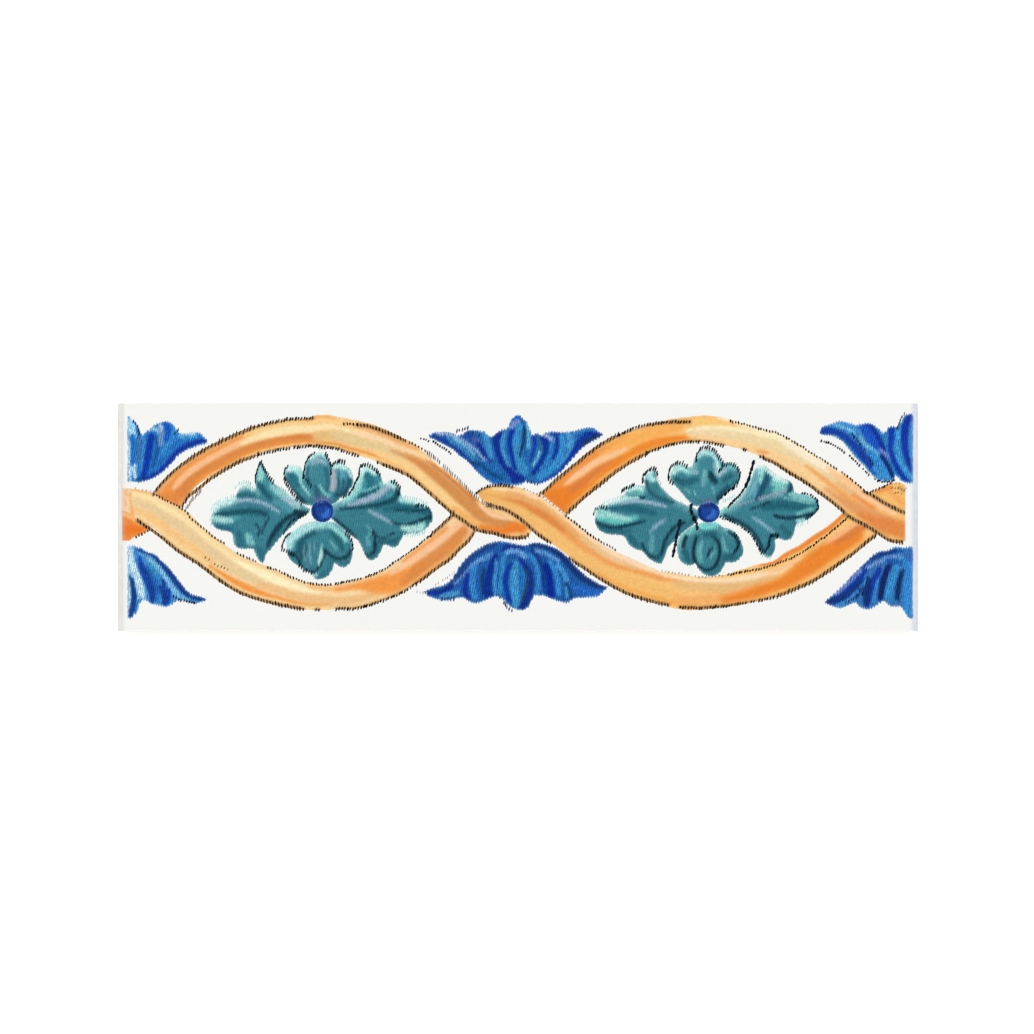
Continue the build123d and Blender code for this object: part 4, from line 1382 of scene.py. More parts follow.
# %% Ticks along the ribbons where they run level
rope_lines += set_ticks(
    "level_rope",
    BARK,
    """
-64.7 23, -60 24, -57 24.6, -51.3 24.8
-64.7 15.7, -60 16.8, -52 17.8, -47.5 17.5, -45 17, -42 16, -40 15.4
-50.5 -23.1, -49.7 -23.1
-45.3 -22.9, -40 -22.7, -35 -21.2, -30 -19.3, -27.5 -18, -25.6 -16.6
40.5 -22.5, 46 -22.6, 52 -22.1, 57 -21.4, 62 -20.4, 63.7 -20
25.3 20.7, 28 21.9, 31 22.9, 34 23.4, 37 23.8, 42.8 23.8
32.3 16, 36 17.5, 40 18.5, 44 18.9, 48 18.6, 51.3 17.9
56.4 16.9, 56.9 16.7
-10.4 6.2, -9 7.1, -7.5 7.8, -5 8.1, -3 8, -1.5 7.7
""",
    pitch=0.68, length=1.12, width=0.52, lean=72, keep=0.99,
)

# %% Ticks along the ribbons that fall to the right
rope_lines += set_ticks(
    "falling_rope",
    BARK,
    """
-40 23.1, -38 22.9, -33 21.3, -28.5 19.4
-35 13.7, -30 11.7, -27 10.2, -25 8.6, -22 6, -18 2.4, -16 .7, -14 -.6, -12 -2, -10.3 -3.2, -9 -3.5,
    -6 -4, -3 -4.9, 0 -5.1, 2 -4.9, 2.5 -4.4
-95 -.8, -92 -2.8, -89 -5, -85 -8.3, -80 -11.5, -75 -15.3, -70 -18.5, -65 -20.4, -60 -21.7,
    -53.7 -22.9
-7.5 3.2, -3 1.8, 0 0, 2.5 -2, 5 -4.3, 8 -6.3
13 -10.2, 15 -11.7, 17 -13, 20 -15, 24 -17.4, 28 -19.3, 32 -20.6, 37.5 -21.9
86.5 6.5, 89 5.2, 92 3.3, 95.5 1.6, 96.5 1.2
60.5 15.1, 64 13.6, 68 11, 72 8.6, 76 5.6, 80 2.6, 83 0, 86.5 -1.8, 90 -4, 93 -5.8, 96 -6.2
""",
    pitch=0.74, length=1.3, width=0.47, lean=95, keep=0.99, wash=ROPE_WASH,
)

# %% Shorter ticks along the ribbons' other edges
set_ticks(
    "rising_dots",
    (60, 46, 34),
    """
-45.5 -16.6, -40 -15.4, -35 -13.7, -30 -10.7, -25 -7, -22 -4.5
88 6.2, 90 7.2, 92 8, 93 8.5
52.5 -14.3, 55 -13.9, 59 -13.1, 62 -12.4, 66 -11.1, 70 -9.3, 74 -6.7, 78 -3.8, 81.5 -.7, 82.5 .2
""",
    pitch=0.68, length=0.98, width=0.5, lean=65, keep=0.98,
)
set_ticks(
    "falling_dots",
    (60, 46, 34),
    """
-43.5 23.3, -42 23.4, -40.2 23.2
-28 19.1, -25.5 18, -23.2 16.6
-91 5.8, -88 4.3, -85 2.8, -82.5 1
-82 0, -80 -1.5, -78 -3.3, -75 -5.5, -73.5 -6.5
-70 -9, -67 -10.4, -65.5 -11
-62.5 -12.5, -60 -13.3, -55 -15.6, -51 -16.7, -46.8 -16.8
-95.3 -4.9, -92.5 -3.5
12 .5, 15 -2, 18.5 -4.7, 22 -6.8, 24.3 -8.1
53 24, 56 23.4, 60 22.3, 65 20.9, 69 18.8, 73 16.3, 77 13.8, 81 11.1, 85 8, 87 6.2
""",
    pitch=0.7, length=0.88, width=0.48, lean=96, keep=0.98,
)

# %% Olive and faint ticks, where little ink passed
set_ticks(
    "olive",
    (122, 98, 64),
    """
-78 -10, -75 -12, -72.5 -13
93.4 7.4, 95.2 7.2, 96.5 6.8
94.2 6.2, 95.8 6
""",
    pitch=0.74, length=0.9, width=0.36, lean=58, keep=0.96,
)
set_ticks(
    "faint",
    (168, 140, 112),
    """
-95.5 7.2, -93 6.8, -91 6.4
.7 7.6, 3.5 6.3, 5.5 5.6
5.5 5.8, 7 4.5, 9 3, 10.5 1.7, 12 .8
36 -13.2, 44 -14.7, 47 -14.9, 51 -14.5
93.5 8.5, 95.5 8.4, 97 7.3
""",
    pitch=0.8, length=0.62, width=0.34, lean=64, keep=0.9,
)

# %% Fine lines beside the left ribbons
set_ticks(
    "comb",
    (112, 98, 88),
    """
-22.6 16.1, -20.5 14.6, -18 12.2, -15 9.6, -12.5 7, -10 4.6, -8.5 3.5, -6 2.4
-82.9 2, -81.5 4.2, -79.2 6.7
""",
    pitch=0.5, length=1.6, width=0.32, lean=84, keep=0.97,
)

# %% Ink round the leaves
set_ticks(
    "leaf_ink",
    (22, 44, 56),
    """
-54 3.5, -55.5 5, -57.3 7.5, -58.4 9.7
-58.3 10, -58.3 11.4, -57.7 12.7
-53.6 10.3, -53.3 12.5, -52.6 14.5, -51.5 15.7, -50.3 16.2
-48 15.8, -47.3 14.5, -46.8 12.8, -46.7 11
-46.2 13.2, -45 14, -43.3 13.8
-53.5 10, -52.5 8.8, -51.8 7.8
-40.8 8, -42 6.2, -43.5 5.3
-41 7.8, -40.2 9.5, -39.7 10.5, -39.3 12.8, -38 13.2, -36.5 12.5, -35.2 11.5, -34.3 9.8
-31.5 9, -30.3 8.4, -29.5 7.2, -29.8 5.8
-25.5 3, -23 2.6, -22 1.5, -21.8 0
-57 -4, -58 -5, -58.8 -6.5, -59 -7.8, -57.8 -8.5, -56 -9.3
-43 -3.8, -42 -5, -41.4 -6.7, -41.3 -8
-54.5 -12, -53 -13.3, -51.5 -13.7
-65.6 9, -65.4 11, -64.7 13, -64.2 13.8, -63.6 12.5, -62.8 11, -61.8 9.5, -60.8 8.3
-53 .8, -56 -.5, -57.5 -2, -58.5 -4
38.6 8.5, 37.6 9.8, 37.7 11.2, 38.3 12.6, 39.5 13.4, 41 13.5, 42.2 12.8
44.5 14.3, 44.7 15.8, 45.5 17, 46.7 17.5, 48 17.3, 49.3 16.5, 50.3 15, 51 13.8, 51 12.5, 50.3 11.7
51.5 13.2, 53 13.3, 54.5 12.6, 55.3 11.3, 55.2 9.8, 54.6 8, 53.3 7, 52.2 6.2, 51 5.3, 50 4.5
31.2 9, 31.3 10.5, 32.3 11.5, 33.5 12.3, 34.5 11.8, 34.8 10.5
26 6.7, 27 7.2, 28.5 8, 29.5 8.3
19 1, 19.5 2, 20.5 2.6, 22 2.3
53.5 -3.7, 54.7 -5, 55.2 -6.5, 54.8 -8, 54 -8.7
74.7 4, 75 2.7, 74.3 1.5, 73.3 .5, 72 -.1
64.8 -4.6, 63.7 -4.3, 62.8 -5.5, 62.7 -7, 61.9 -8.2, 61 -8.8, 60.2 -7.5, 59.4 -6, 58.8 -5
52.6 2.8, 54.2 4.3, 55.7 6, 56.8 7.8
""",
    pitch=0.58, length=1.45, width=0.46, lean=75, keep=0.98, flatten=0.75,
)

# %% Mint combs at the tips of the leaves
set_ticks(
    "mint_comb",
    (164, 216, 214),
    """
-70.6 7.6, -69.6 8.4, -68 8.8, -66.8 8.4
-76.9 1.6, -76 3, -74.3 4.3, -72 4.8, -71 5.2
-77 -.6, -76.6 -1.8
-29.2 5, -27 4.9, -24.5 4.2, -22.6 3.2
-28.6 -4.3, -26 -4.4, -23.4 -3.7
51.2 4.2, 52.6 4.6, 54 5.4
19.2 1.6, 21 3.2, 23.5 4.4, 26 5
61 -9.6, 63 -9.9
70 -1.8, 72.4 -1.2
""",
    pitch=0.54, length=1.3, width=0.28, lean=82, keep=0.95, flatten=0.75,
)

# %% Bold ink in the right rosette
set_ticks(
    "bold_ink",
    (14, 30, 40),
    """
56.9 8, 57.8 10.2, 58.3 12, 58.7 13.6
40.5 -1, 40 -3.5, 39.4 -6, 38.8 -9.3
43.2 3, 43.3 1.4, 43.9 0, 44.6 -1.6, 44.8 -2.6
""",
    pitch=0.6, length=1.5, width=0.8, lean=76, keep=1.0, flatten=0.75,
)

# %% Ink round the palmettes
set_ticks(
    "palmette_ink",
    (26, 42, 84),
    """
-15.3 21.6, -12.5 22.4
-11.3 21.3, -9 20
2.5 8.8, 5 8.3
-19 -20.3, -16 -20.3
-4.5 -20, -3.5 -21.3, -2.5 -22.7, -1.6 -23.3
-97.3 25, -96 23.8, -95 22.5, -94.6 21
-85.7 21.1, -84.9 21.8
94.8 22.5, 95.3 24, 96.4 25.7
83.5 20.7, 85 18.9, 86.3 17, 87.5 15, 88.5 13.3
82 -21.3, 83.5 -20.4, 85 -19.4
86 -19, 86.8 -17, 87.3 -15.2
""",
    pitch=0.64, length=1.2, width=0.38, lean=79, keep=0.94, flatten=0.75,
)

# %% Beads of ink below the palmettes and beside the leaves
set_ticks(
    "beads",
    (34, 40, 52),
    """
82.8 15.3, 84.6 13.7, 86.4 11.9, 88 10.3, 89.6 9.3, 91.6 8.9, 94 9.2
71 6.1, 72.6 5.8, 73.8 5, 74.8 4.1
50.6 0, 52.4 -.6, 54.4 -1.5, 56.2 -2.6, 57.8 -3.9, 59 -5.3
75.8 19.2, 77.4 18.7, 78.8 18.1, 80.2 17.2, 81.4 16.3
-86 -19.8, -84.4 -20.6, -82.4 -21, -80.8 -21.4
-16.8 15.9, -17.6 16.6, -19 17.6, -20.8 18.7, -22.5 19.2, -24.2 19.6
""",
    pitch=0.6, length=0.82, width=0.5, lean=68, keep=0.97, flatten=0.75,
)

# %% Faint grey combs
set_ticks(
    "grey_comb",
    (164, 168, 172),
    """
-49.5 17, -47.5 17.2
-61 8.3, -59 7.3, -57 6, -55.3 4.5, -54.3 3.3
34.5 10.5, 35.5 8.5, 36.7 6.5, 38 5, 39.5 4.2, 41 3.5, 42.5 3
69.2 6.2, 70 6.2, 71 6.1
-20.5 -16.7, -18 -15.2, -16 -13.7
-25.3 -18.6, -23 -18.8
-97.3 9, -97.3 16, -97.3 24
-97.3 -8, -97.3 -16, -97.3 -24
""",
    pitch=0.62, length=0.9, width=0.22, lean=80, keep=0.9, flatten=0.75,
)

# %% [markdown]
# ## One plan of the whole face
# Layers of thin shapes a hair above the tile would flicker where they overlap and would leave
# loose scraps in the mesh. So all the outlines go into one plan: the flat face is taken off a
# copy of the tile, the outlines are triangulated together inside its rim, and the result is
# sewn back to the same rim. The tile stays one closed skin, and the paint is its colour.

# %% Take the flat face off a copy of the tile
SAME_HEIGHT = 1e-6  # metres, within which two heights or points count as one
CUT_SLACK = 1e-7  # metres beside the cut, within which a point counts as cut
shell = bmesh.new()
shell.from_mesh(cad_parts[TILE].data)
bmesh.ops.remove_doubles(shell, verts=shell.verts, dist=SAME_HEIGHT)
everything = [*shell.verts, *shell.edges, *shell.faces]
halving = {"geom": everything, "plane_co": (0, 0, 0), "plane_no": (1, 0, 0), "dist": CUT_SLACK}
bmesh.ops.bisect_plane(shell, **halving)
flat = [face for face in shell.faces if min(v.co.z for v in face.verts) > TOP - SAME_HEIGHT]
bmesh.ops.delete(shell, geom=flat, context="FACES")
shell.verts.index_update()
rim = rim_of(shell)[::-1]
shell.verts.ensure_lookup_table()
rim_points = np.array([shell.verts[i].co[:2] for i in rim]) / MM
print("flat face:", len(flat), "triangles taken off, rim of", len(rim), "points")


# %% Measure how far points lie outside a line
def beyond(points, line):
    """How far points lie outside a stroke, below 0 inside it, or from a line without widths."""
    start, run = line[:-1, :2], np.diff(line[:, :2], axis=0)
    offset = points[:, None] - start
    share = np.clip(np.sum(offset * run, axis=2) / np.sum(run * run, axis=1), 0, 1)
    gap = np.linalg.norm(offset - share[..., None] * run, axis=2)
    if line.shape[1] > 2:
        gap -= (line[:-1, 2] + share * np.diff(line[:, 2])) / 2
    return gap.min(axis=1)


def inside(points, loop):
    """Whether each point lies in the loop, by counting the edges to one side of it."""
    x, y = points.T
    hit = np.zeros(len(points), bool)
    for (x0, y0), (x1, y1) in zip(loop, np.roll(loop, -1, axis=0)):
        if y0 != y1:
            crosses = (y0 > y) != (y1 > y)
            hit ^= crosses & (x < (x1 - x0) * (y - y0) / (y1 - y0) + x0)
    return hit


# %% Scatter points inside the motifs, fine enough to carry their colours
LATTICE = 0.31
ROW_SHARE = 0.866  # height of a triangle with equal sides, as a share of its side
EDGE_ROOM = 0.13  # the points stay this far inside the outline


def lattice_inside(loop):
    """A lattice of equal triangles inside the loop."""
    low, high = loop.min(axis=0), loop.max(axis=0)
    rows = np.arange(low[1], high[1], LATTICE * ROW_SHARE)
    columns = np.arange(low[0], high[0], LATTICE)
    x, y = np.meshgrid(columns, rows)
    x += (np.arange(len(rows)) % 2)[:, None] * LATTICE / 2
    points = np.column_stack([x.ravel(), y.ravel()])
    return points[inside(points, loop)]


def closed(loop):
    """The loop with its first point again at the end."""
    return np.vstack([loop, loop[:1]])


for motif in motifs:
    points = motif["inner"] if "inner" in motif else lattice_inside(motif["loop"])
    motif["inner"] = points[beyond(points, closed(motif["loop"])) > EDGE_ROOM]
print("points inside motifs:", sum(len(motif["inner"]) for motif in motifs))

# %% Ring the face with a frame of points, and part it in halves
FRAME_GAP = 0.3  # this far in, a frame of points keeps the rolled edge's shading off the face
FRAME_COUNTS = (100, 30)  # points along its long and short sides
PLAN_SLACK = 1e-4  # millimetres, within which two points of the plan count as one
corner = rim_points.max(axis=0)
along, up = [np.linspace(-1, 1, count) for count in FRAME_COUNTS]
sides = [
    np.column_stack([along, -np.ones_like(along)]),
    np.column_stack([np.ones_like(up), up]),
    np.column_stack([-along, np.ones_like(along)]),
    np.column_stack([-np.ones_like(up), -up]),
]
inner_frame = wound_left(np.vstack(sides) * (corner - FRAME_GAP))
seam_heights = np.arange(-corner[1] + LATTICE, corner[1] - LATTICE / 2, LATTICE)
seam = np.column_stack([np.zeros(len(seam_heights)), seam_heights])
seam_ends = [i for i, (x, _) in enumerate(rim_points) if abs(x) < PLAN_SLACK]
print("frame:", len(inner_frame), "points, seam:", len(seam), "points, ends", seam_ends)

# %% Triangulate the plan
INSIDE_RIM = 1  # the kind of result that keeps only the triangles inside the outlines
loops = [rim_points, *(motif["loop"] for motif in motifs), *tick_loops]
inner = [motif["inner"][np.abs(motif["inner"][:, 0]) > LATTICE / 2] for motif in motifs]
plan_points = np.vstack([*loops, inner_frame, seam, *inner])
starts = np.cumsum([0, *(len(loop) for loop in loops)])
plan_faces = [list(range(first, last)) for first, last in zip(starts, starts[1:])]
ring = range(starts[-1], starts[-1] + len(inner_frame))
edges = [tuple(seam_ends), *zip(ring, [*ring[1:], ring[0]])]
vectors = [Vector(point) for point in plan_points]
plan = delaunay_2d_cdt(vectors, edges, plan_faces, INSIDE_RIM, PLAN_SLACK, True)
plan_places = np.array([point[:] for point in plan[0]])
triangles = np.array(plan[2])
owners = np.array([max(found) for found in plan[5]])  # the last outline laid over each triangle
print("plan:", len(plan_places), "points", len(triangles), "triangles")

# %% Turn colours to light, and find how deep points lie
GLAZE = np.array((246.0, 246.0, 243.0))


def linear(colours):
    """Colours of 0 to 255, as a screen shows them, as the amounts of light that Blender mixes."""
    share = np.clip(np.asarray(colours, float) / 255, 0, 1)
    return np.where(share <= 0.04045, share / 12.92, ((share + 0.055) / 1.055) ** 2.4)


def depth_in(points, loop):
    """How deep points lie inside the loop, below 0 outside it."""
    return beyond(points, closed(loop)) * np.where(inside(points, loop), 1, -1)


# %% Mix the paint at points of one motif
JITTER = 0.45  # the screen's wires shift what a stroke covers by this much, up and down
FULL_COMB = 0.13  # motifs whose comb is weaker than this are shifted less
JITTER_SEED = 90  # keeps these teeth apart from those of the outline
MILK_REACH = 2.3  # millimetres in from the edge, over which a leaf's milky edge fades
MILK_FADE = 1.3  # above 1, it fades faster near the edge
MILK_TO_LIGHT = 0.85
MILK_FROM_LIGHT = -0.6
LIGHT_SIDE = np.array((-0.35, 0.6))  # a step towards the light, up and to the left
SOFT_LEAST = 0.3  # a stroke's edge fades over this many millimetres
SOFT_SHARE = 0.28  # and over this share of its width
FULL_COVER = 0.94  # the middle of a stroke lets a little of what lies below it through
ROPE_SHADE = (144, 100, 60)  # the ribbons are browner along their ticks
ROPE_REACH = 0.85
ROPE_STRENGTH = 0.74
RIM_PALENESS = 0.4
GRAIN = 0.012
COMB_GRAIN = 0.2  # more of it where the screen shows


def paint_at(motif, points):
    """The paint's colour at points of a motif, from its ground, its strokes and its paler rim."""
    wave = teeth(points, motif["seed"] + JITTER_SEED)
    shift = JITTER * min(1, motif["comb"] / FULL_COMB) * wave
    seen = points + np.column_stack([np.zeros(len(points)), shift])
    colour = np.tile(motif["ground"], (len(points), 1))
    if motif["milk"]:
        depth = depth_in(seen, motif["loop"])
        facing = (depth - depth_in(seen + LIGHT_SIDE, motif["loop"])) / np.linalg.norm(LIGHT_SIDE)
        near = np.clip(1 - depth / MILK_REACH, 0, 1) ** MILK_FADE
        for tint, share in zip(motif["milk"], (MILK_TO_LIGHT * facing, MILK_FROM_LIGHT * facing)):
            colour += (tint - colour) * (near * np.clip(share, 0, 1))[:, None]
    for tint, line in motif["strokes"]:
        softness = motif["soft"] * (SOFT_LEAST + SOFT_SHARE * line[:, 2].mean())
        cover = np.clip(0.5 - beyond(seen, line) / softness, 0, 1)
        cover = FULL_COVER * cover * cover * (3 - 2 * cover)
        colour += (tint - colour) * cover[:, None]
    if motif["name"].startswith("ribbon"):
        for line in rope_lines:
            cover = ROPE_STRENGTH * np.clip(1 - beyond(points, line) / ROPE_REACH, 0, 1)
            colour += (ROPE_SHADE - colour) * cover[:, None]
    pale = RIM_PALENESS * np.clip(1 - beyond(points, closed(motif["loop"])) / motif["rim"], 0, 1)
    uneven_by = GRAIN + COMB_GRAIN * motif["comb"]
    grain = np.random.default_rng(motif["seed"]).normal(1, uneven_by, len(points))
    return (colour + (GLAZE - colour) * pale[:, None]) * grain[:, None]


# %% Paint the triangles, with the comb's strength as a fourth number
corner_paint = np.zeros((len(triangles), 3, 4))
corner_paint[..., :3] = linear(GLAZE)
for number, motif in enumerate(motifs, start=1):
    owned = np.flatnonzero(owners == number)
    used, back = np.unique(triangles[owned], return_inverse=True)
    colours = linear(paint_at(motif, plan_places[used]))
    mixed = np.column_stack([colours, np.full(len(used), motif["comb"])])
    corner_paint[owned] = mixed[back.reshape(-1, 3)]
inks = owners > len(motifs)
ink_table = linear(tick_inks)
corner_paint[inks, :, :3] = ink_table[owners[inks] - len(motifs) - 1][:, None]
print("painted triangles:", int(np.sum(owners > 0)), "of them ink:", int(inks.sum()))

# %% Sew the plan back to the tile's rim
EDGE_SHARP = 50  # degrees, past which an edge is drawn sharp
mesh_points = [tuple(vert.co) for vert in shell.verts]
shell_faces = [[vert.index for vert in face.verts] for face in shell.faces]
shell.free()
new_index = np.zeros(len(plan_places), int)
for number, (place, sources) in enumerate(zip(plan_places, plan[3])):
    on_rim = [source for source in sources if source < len(rim)]
    if on_rim:
        new_index[number] = rim[on_rim[0]]
    else:
        new_index[number] = len(mesh_points)
        mesh_points.append((place[0] * MM, place[1] * MM, TOP))
mesh = bpy.data.meshes.new("painted_tile")
mesh.from_pydata(mesh_points, [], shell_faces + new_index[triangles].tolist())
mesh.update()
mesh.shade_smooth()
mesh.set_sharp_from_angle(angle=math.radians(EDGE_SHARP))
print("skin:", len(mesh.vertices), "points", len(mesh.polygons), "faces")

# %% Store the paint on the skin's corners
shell_corners = sum(len(face) for face in shell_faces)
paint = np.tile([*linear(GLAZE), 0], (len(mesh.loops), 1))
paint[shell_corners:] = corner_paint.reshape(-1, 4)
layer = mesh.attributes.new("paint", "FLOAT_COLOR", "CORNER")
layer.data.foreach_set("color", paint.astype(np.float32).ravel())
print("corners of plain glaze or clay round the face:", shell_corners)

# %% [markdown]
# ## A flat layout of the skin
# The colours can also be carried as one picture wrapped on the skin, which needs a flat layout.
# Left to itself, a program would cut the face into many scraps. Here the face is laid out in two
# halves, as large as the square allows, and the back and edges, which are plain clay, share a
# strip beside it.

# %% Lay the skin out
FACE_SCALE = 0.0086  # share of the square for each millimetre of the face
EDGE_SCALE = 0.00275
BACK_SCALE = 0.0021
FACING = 0.1  # a side whose normal rises or falls by more than this belongs to the face or back
CORNERS = {  # where the lower left corner of each side lies in the square
    "left half": (0.006, 0.006),
    "right half": (0.006, 0.505),
    "back": (0.875, 0.006),
    "lower edge": (0.875, 0.44),
    "upper edge": (0.9, 0.44),
    "left end": (0.925, 0.44),
    "right end": (0.925, 0.6),
}
half_x, half_y = highest.x / MM, highest.y / MM


def laid_out(normal, centre, point):
    """Where a corner of a face lies in the layout, in shares of the square."""
    x, y, z = point
    along, up = x + half_x, y + half_y
    if normal[2] > FACING:
        side = "right half" if centre[0] > 0 else "left half"
        run = (x if centre[0] > 0 else along) * FACE_SCALE
        rise = up * FACE_SCALE
    elif normal[2] < -FACING:
        side, run, rise = "back", (half_y - y) * BACK_SCALE, along * BACK_SCALE
    elif abs(normal[1]) > abs(normal[0]):
        side = "upper edge" if normal[1] > 0 else "lower edge"
        run, rise = z * EDGE_SCALE, along * EDGE_SCALE
    else:
        side = "right end" if normal[0] > 0 else "left end"
        run, rise = z * EDGE_SCALE, up * EDGE_SCALE
    return CORNERS[side][0] + run, CORNERS[side][1] + rise


layout = np.zeros((len(mesh.loops), 2), np.float32)
for face in mesh.polygons:
    centre = [part / MM for part in face.center]
    for corner_index in face.loop_indices:
        place = mesh.vertices[mesh.loops[corner_index].vertex_index].co
        layout[corner_index] = laid_out(face.normal, centre, [part / MM for part in place])
mesh.uv_layers.new(name="OFBake").data.foreach_set("uv", layout.ravel())
print("layout from", layout.min(axis=0), "to", layout.max(axis=0))

# %% [markdown]
# ## Glaze and bare clay
# Glaze is glass: it mirrors the room softly, shows faint waves, and thins where it pulls back
# from the short ends, so the clay greys it there; that grey also carries painted shade of the
# rolled ends. It stops part of the way down the edge in a ragged line, below which the pale
# pressed clay is bare and dull.


# %% Start a material and find its points in millimetres
def fresh_nodes(material):
    """The material's emptied tree, as a wire, with its output node."""
    material.use_nodes = True
    material.node_tree.nodes.clear()
    return Wire(material.node_tree), material.node_tree.nodes.new("ShaderNodeOutputMaterial")


def in_millimetres(nodes):
    """The point being shaded, in the tile's own millimetres, as a vector and as x, y and z."""
    place = nodes.node("ShaderNodeTexCoord", output="Object")
    scaled = nodes.node("ShaderNodeVectorMath", {"operation": "SCALE"}, {0: place, "Scale": 1 / MM})
    x = nodes.node("ShaderNodeSeparateXYZ", inputs={0: scaled})
    return scaled, x, x.other("Y"), x.other("Z")


def noise(nodes, place, size, detail=2.0, rough=0.5):
    """Noise from 0 to 1 with blobs of about this many millimetres. More detail adds finer
    layers, and a rougher noise has stronger ones."""
    values = {"Vector": place, "Scale": 1 / size, "Detail": detail, "Roughness": rough}
    return nodes.node("ShaderNodeTexNoise", inputs=values)


def blend(nodes, factor, first, second):
    """One colour turning into another; plain colours are given as red, green and blue to 255."""
    values = {0: factor}
    for slot, colour in ((6, first), (7, second)):
        values[slot] = colour if isinstance(colour, Wire) else (*linear(colour), 1)
    return nodes.node("ShaderNodeMix", {"data_type": "RGBA"}, values, output=2)


def ramp(nodes, value, start, end, low=0.0, high=1.0):
    """A smooth step from low to high while the value runs from start to end."""
    values = {0: value, 1: start, 2: end, 3: low, 4: high}
    return nodes.node("ShaderNodeMapRange", {"interpolation_type": "SMOOTHSTEP"}, values)


# %% Bare clay
BODY = (219, 203, 178)
PALE_PATCH = (232, 219, 197)
DARK_GRAIN = (196, 176, 148)
SPECK = (150, 118, 88)
KILN_DUST = (238, 231, 220)
DUST_HEIGHT = 0.5  # millimetres up, where the dust of the kiln shelf ends


def bare_clay(nodes):
    """Pale pressed clay: fine grain, darker specks and the dust of the kiln shelf."""
    place, _, _, height = in_millimetres(nodes)
    grain = noise(nodes, place, size=0.35, detail=4.0, rough=0.7)
    patches = noise(nodes, place, size=9.0, detail=3.0)
    specks = ramp(nodes, noise(nodes, place, size=0.8, detail=1.0), start=0.66, end=0.72)
    dust = ramp(nodes, height, start=DUST_HEIGHT, end=0.0)
    body = blend(nodes, patches, BODY, PALE_PATCH)
    body = blend(nodes, grain * 0.45, body, DARK_GRAIN)
    body = blend(nodes, specks * 0.6, body, SPECK)
    body = blend(nodes, dust * 0.35, body, KILN_DUST)
    bump = {"Height": grain, "Strength": 0.35, "Distance": 0.00006}
    surface = {"Base Color": body, "Roughness": 0.78 + grain * 0.15, "Specular IOR Level": 0.35}
    surface["Normal"] = nodes.node("ShaderNodeBump", inputs=bump)
    return nodes.node("ShaderNodeBsdfPrincipled", inputs=surface)


bare_biscuit = bpy.data.materials.new("bare_biscuit")
nodes, output = fresh_nodes(bare_biscuit)
nodes.tree.links.new(bare_clay(nodes).socket, output.inputs["Surface"])
print(bare_biscuit.name, "nodes:", len(nodes.tree.nodes))

# %% The screen's comb and flecks in the paint
SCREEN_PITCH = 0.55  # millimetres between the wires of the printing screen
FLECK_WIDTH, FLECK_HEIGHT = 0.4, 1.3
nodes, output = fresh_nodes(painted_glaze)
place, x, y, height = in_millimetres(nodes)
paint = nodes.node("ShaderNodeAttribute", {"attribute_name": "paint"}, output="Color")
comb_strength = paint.other("Alpha")
across_wires = x - y * TOOTH_LEAN
wires = across_wires / SCREEN_PITCH + noise(nodes, place, size=2.2) * 1.6
patchy = noise(nodes, place, size=1.6) * 2.6 - 0.35
comb = nodes.maths("SINE", wires * (2 * math.pi)) * patchy * comb_strength
fleck_place = {"X": across_wires / FLECK_WIDTH, "Y": y / FLECK_HEIGHT}
fleck_place = nodes.node("ShaderNodeCombineXYZ", inputs=fleck_place)
flecks = noise(nodes, fleck_place, size=1.0, detail=1.0) - 0.5
mottle = noise(nodes, place, size=0.5, detail=3.0, rough=0.7) - 0.5
mottle = mottle * (comb_strength * 0.9 + 0.012) + flecks * (comb_strength * 3.0 + 0.005)
clouds = (noise(nodes, place, size=14.0) - 0.5) * 0.03
toned = {"Value": 1.0 + (comb + mottle + clouds), "Color": paint}
colour = nodes.node("ShaderNodeHueSaturation", inputs=toned)
print("comb and flecks, nodes:", len(nodes.tree.nodes))

# %% Painted glaze
# Towards the short ends the colour is greyed: partly the thinner glaze, partly painted shade of the
# rolled ends, warm at the left end and cool at the right.
END_THIN_AND_SHADE_FROM, END_THIN_AND_SHADE_TO = 97.6, 99.7  # millimetres out, where the glaze thins at the short ends
LEFT_END_GREY_AND_SHADE = (198, 192, 185)
RIGHT_END_GREY_AND_SHADE = (162, 180, 212)
GLAZE_LINE = 4.7  # millimetres up, where the glaze stops on the edge
LINE_SOFTNESS = 0.12
# How much painted shade, with the thinner glaze, goes into the colour at the short ends
thin = ramp(nodes, nodes.maths("ABSOLUTE", x), END_THIN_AND_SHADE_FROM, END_THIN_AND_SHADE_TO) * 0.55
end_grey_and_shade = blend(nodes, ramp(nodes, x, -1.0, 1.0), LEFT_END_GREY_AND_SHADE, RIGHT_END_GREY_AND_SHADE)
colour = blend(nodes, thin * (0.7 + noise(nodes, place, size=1.5) * 0.6), colour, end_grey_and_shade)
waves = noise(nodes, place, size=7.0) + noise(nodes, place, size=0.8) * 0.06
bump = {"Height": waves, "Strength": 0.2, "Distance": 0.00012}
roughness = 0.09 + noise(nodes, place, size=5.0, detail=3.0) * 0.08
surface = {"Base Color": colour, "Roughness": roughness, "IOR": 1.52}
surface["Normal"] = nodes.node("ShaderNodeBump", inputs=bump)
glass = nodes.node("ShaderNodeBsdfPrincipled", inputs=surface)
ragged = noise(nodes, place, size=6.0, detail=4.0, rough=0.6) * 1.6 - 0.8
covered = ramp(nodes, height - ragged, GLAZE_LINE - LINE_SOFTNESS, GLAZE_LINE + LINE_SOFTNESS)
halves = {0: covered, 1: bare_clay(nodes), 2: glass}
skin = nodes.node("ShaderNodeMixShader", inputs=halves)
nodes.tree.links.new(skin.socket, output.inputs["Surface"])
print(painted_glaze.name, "nodes:", len(nodes.tree.nodes))

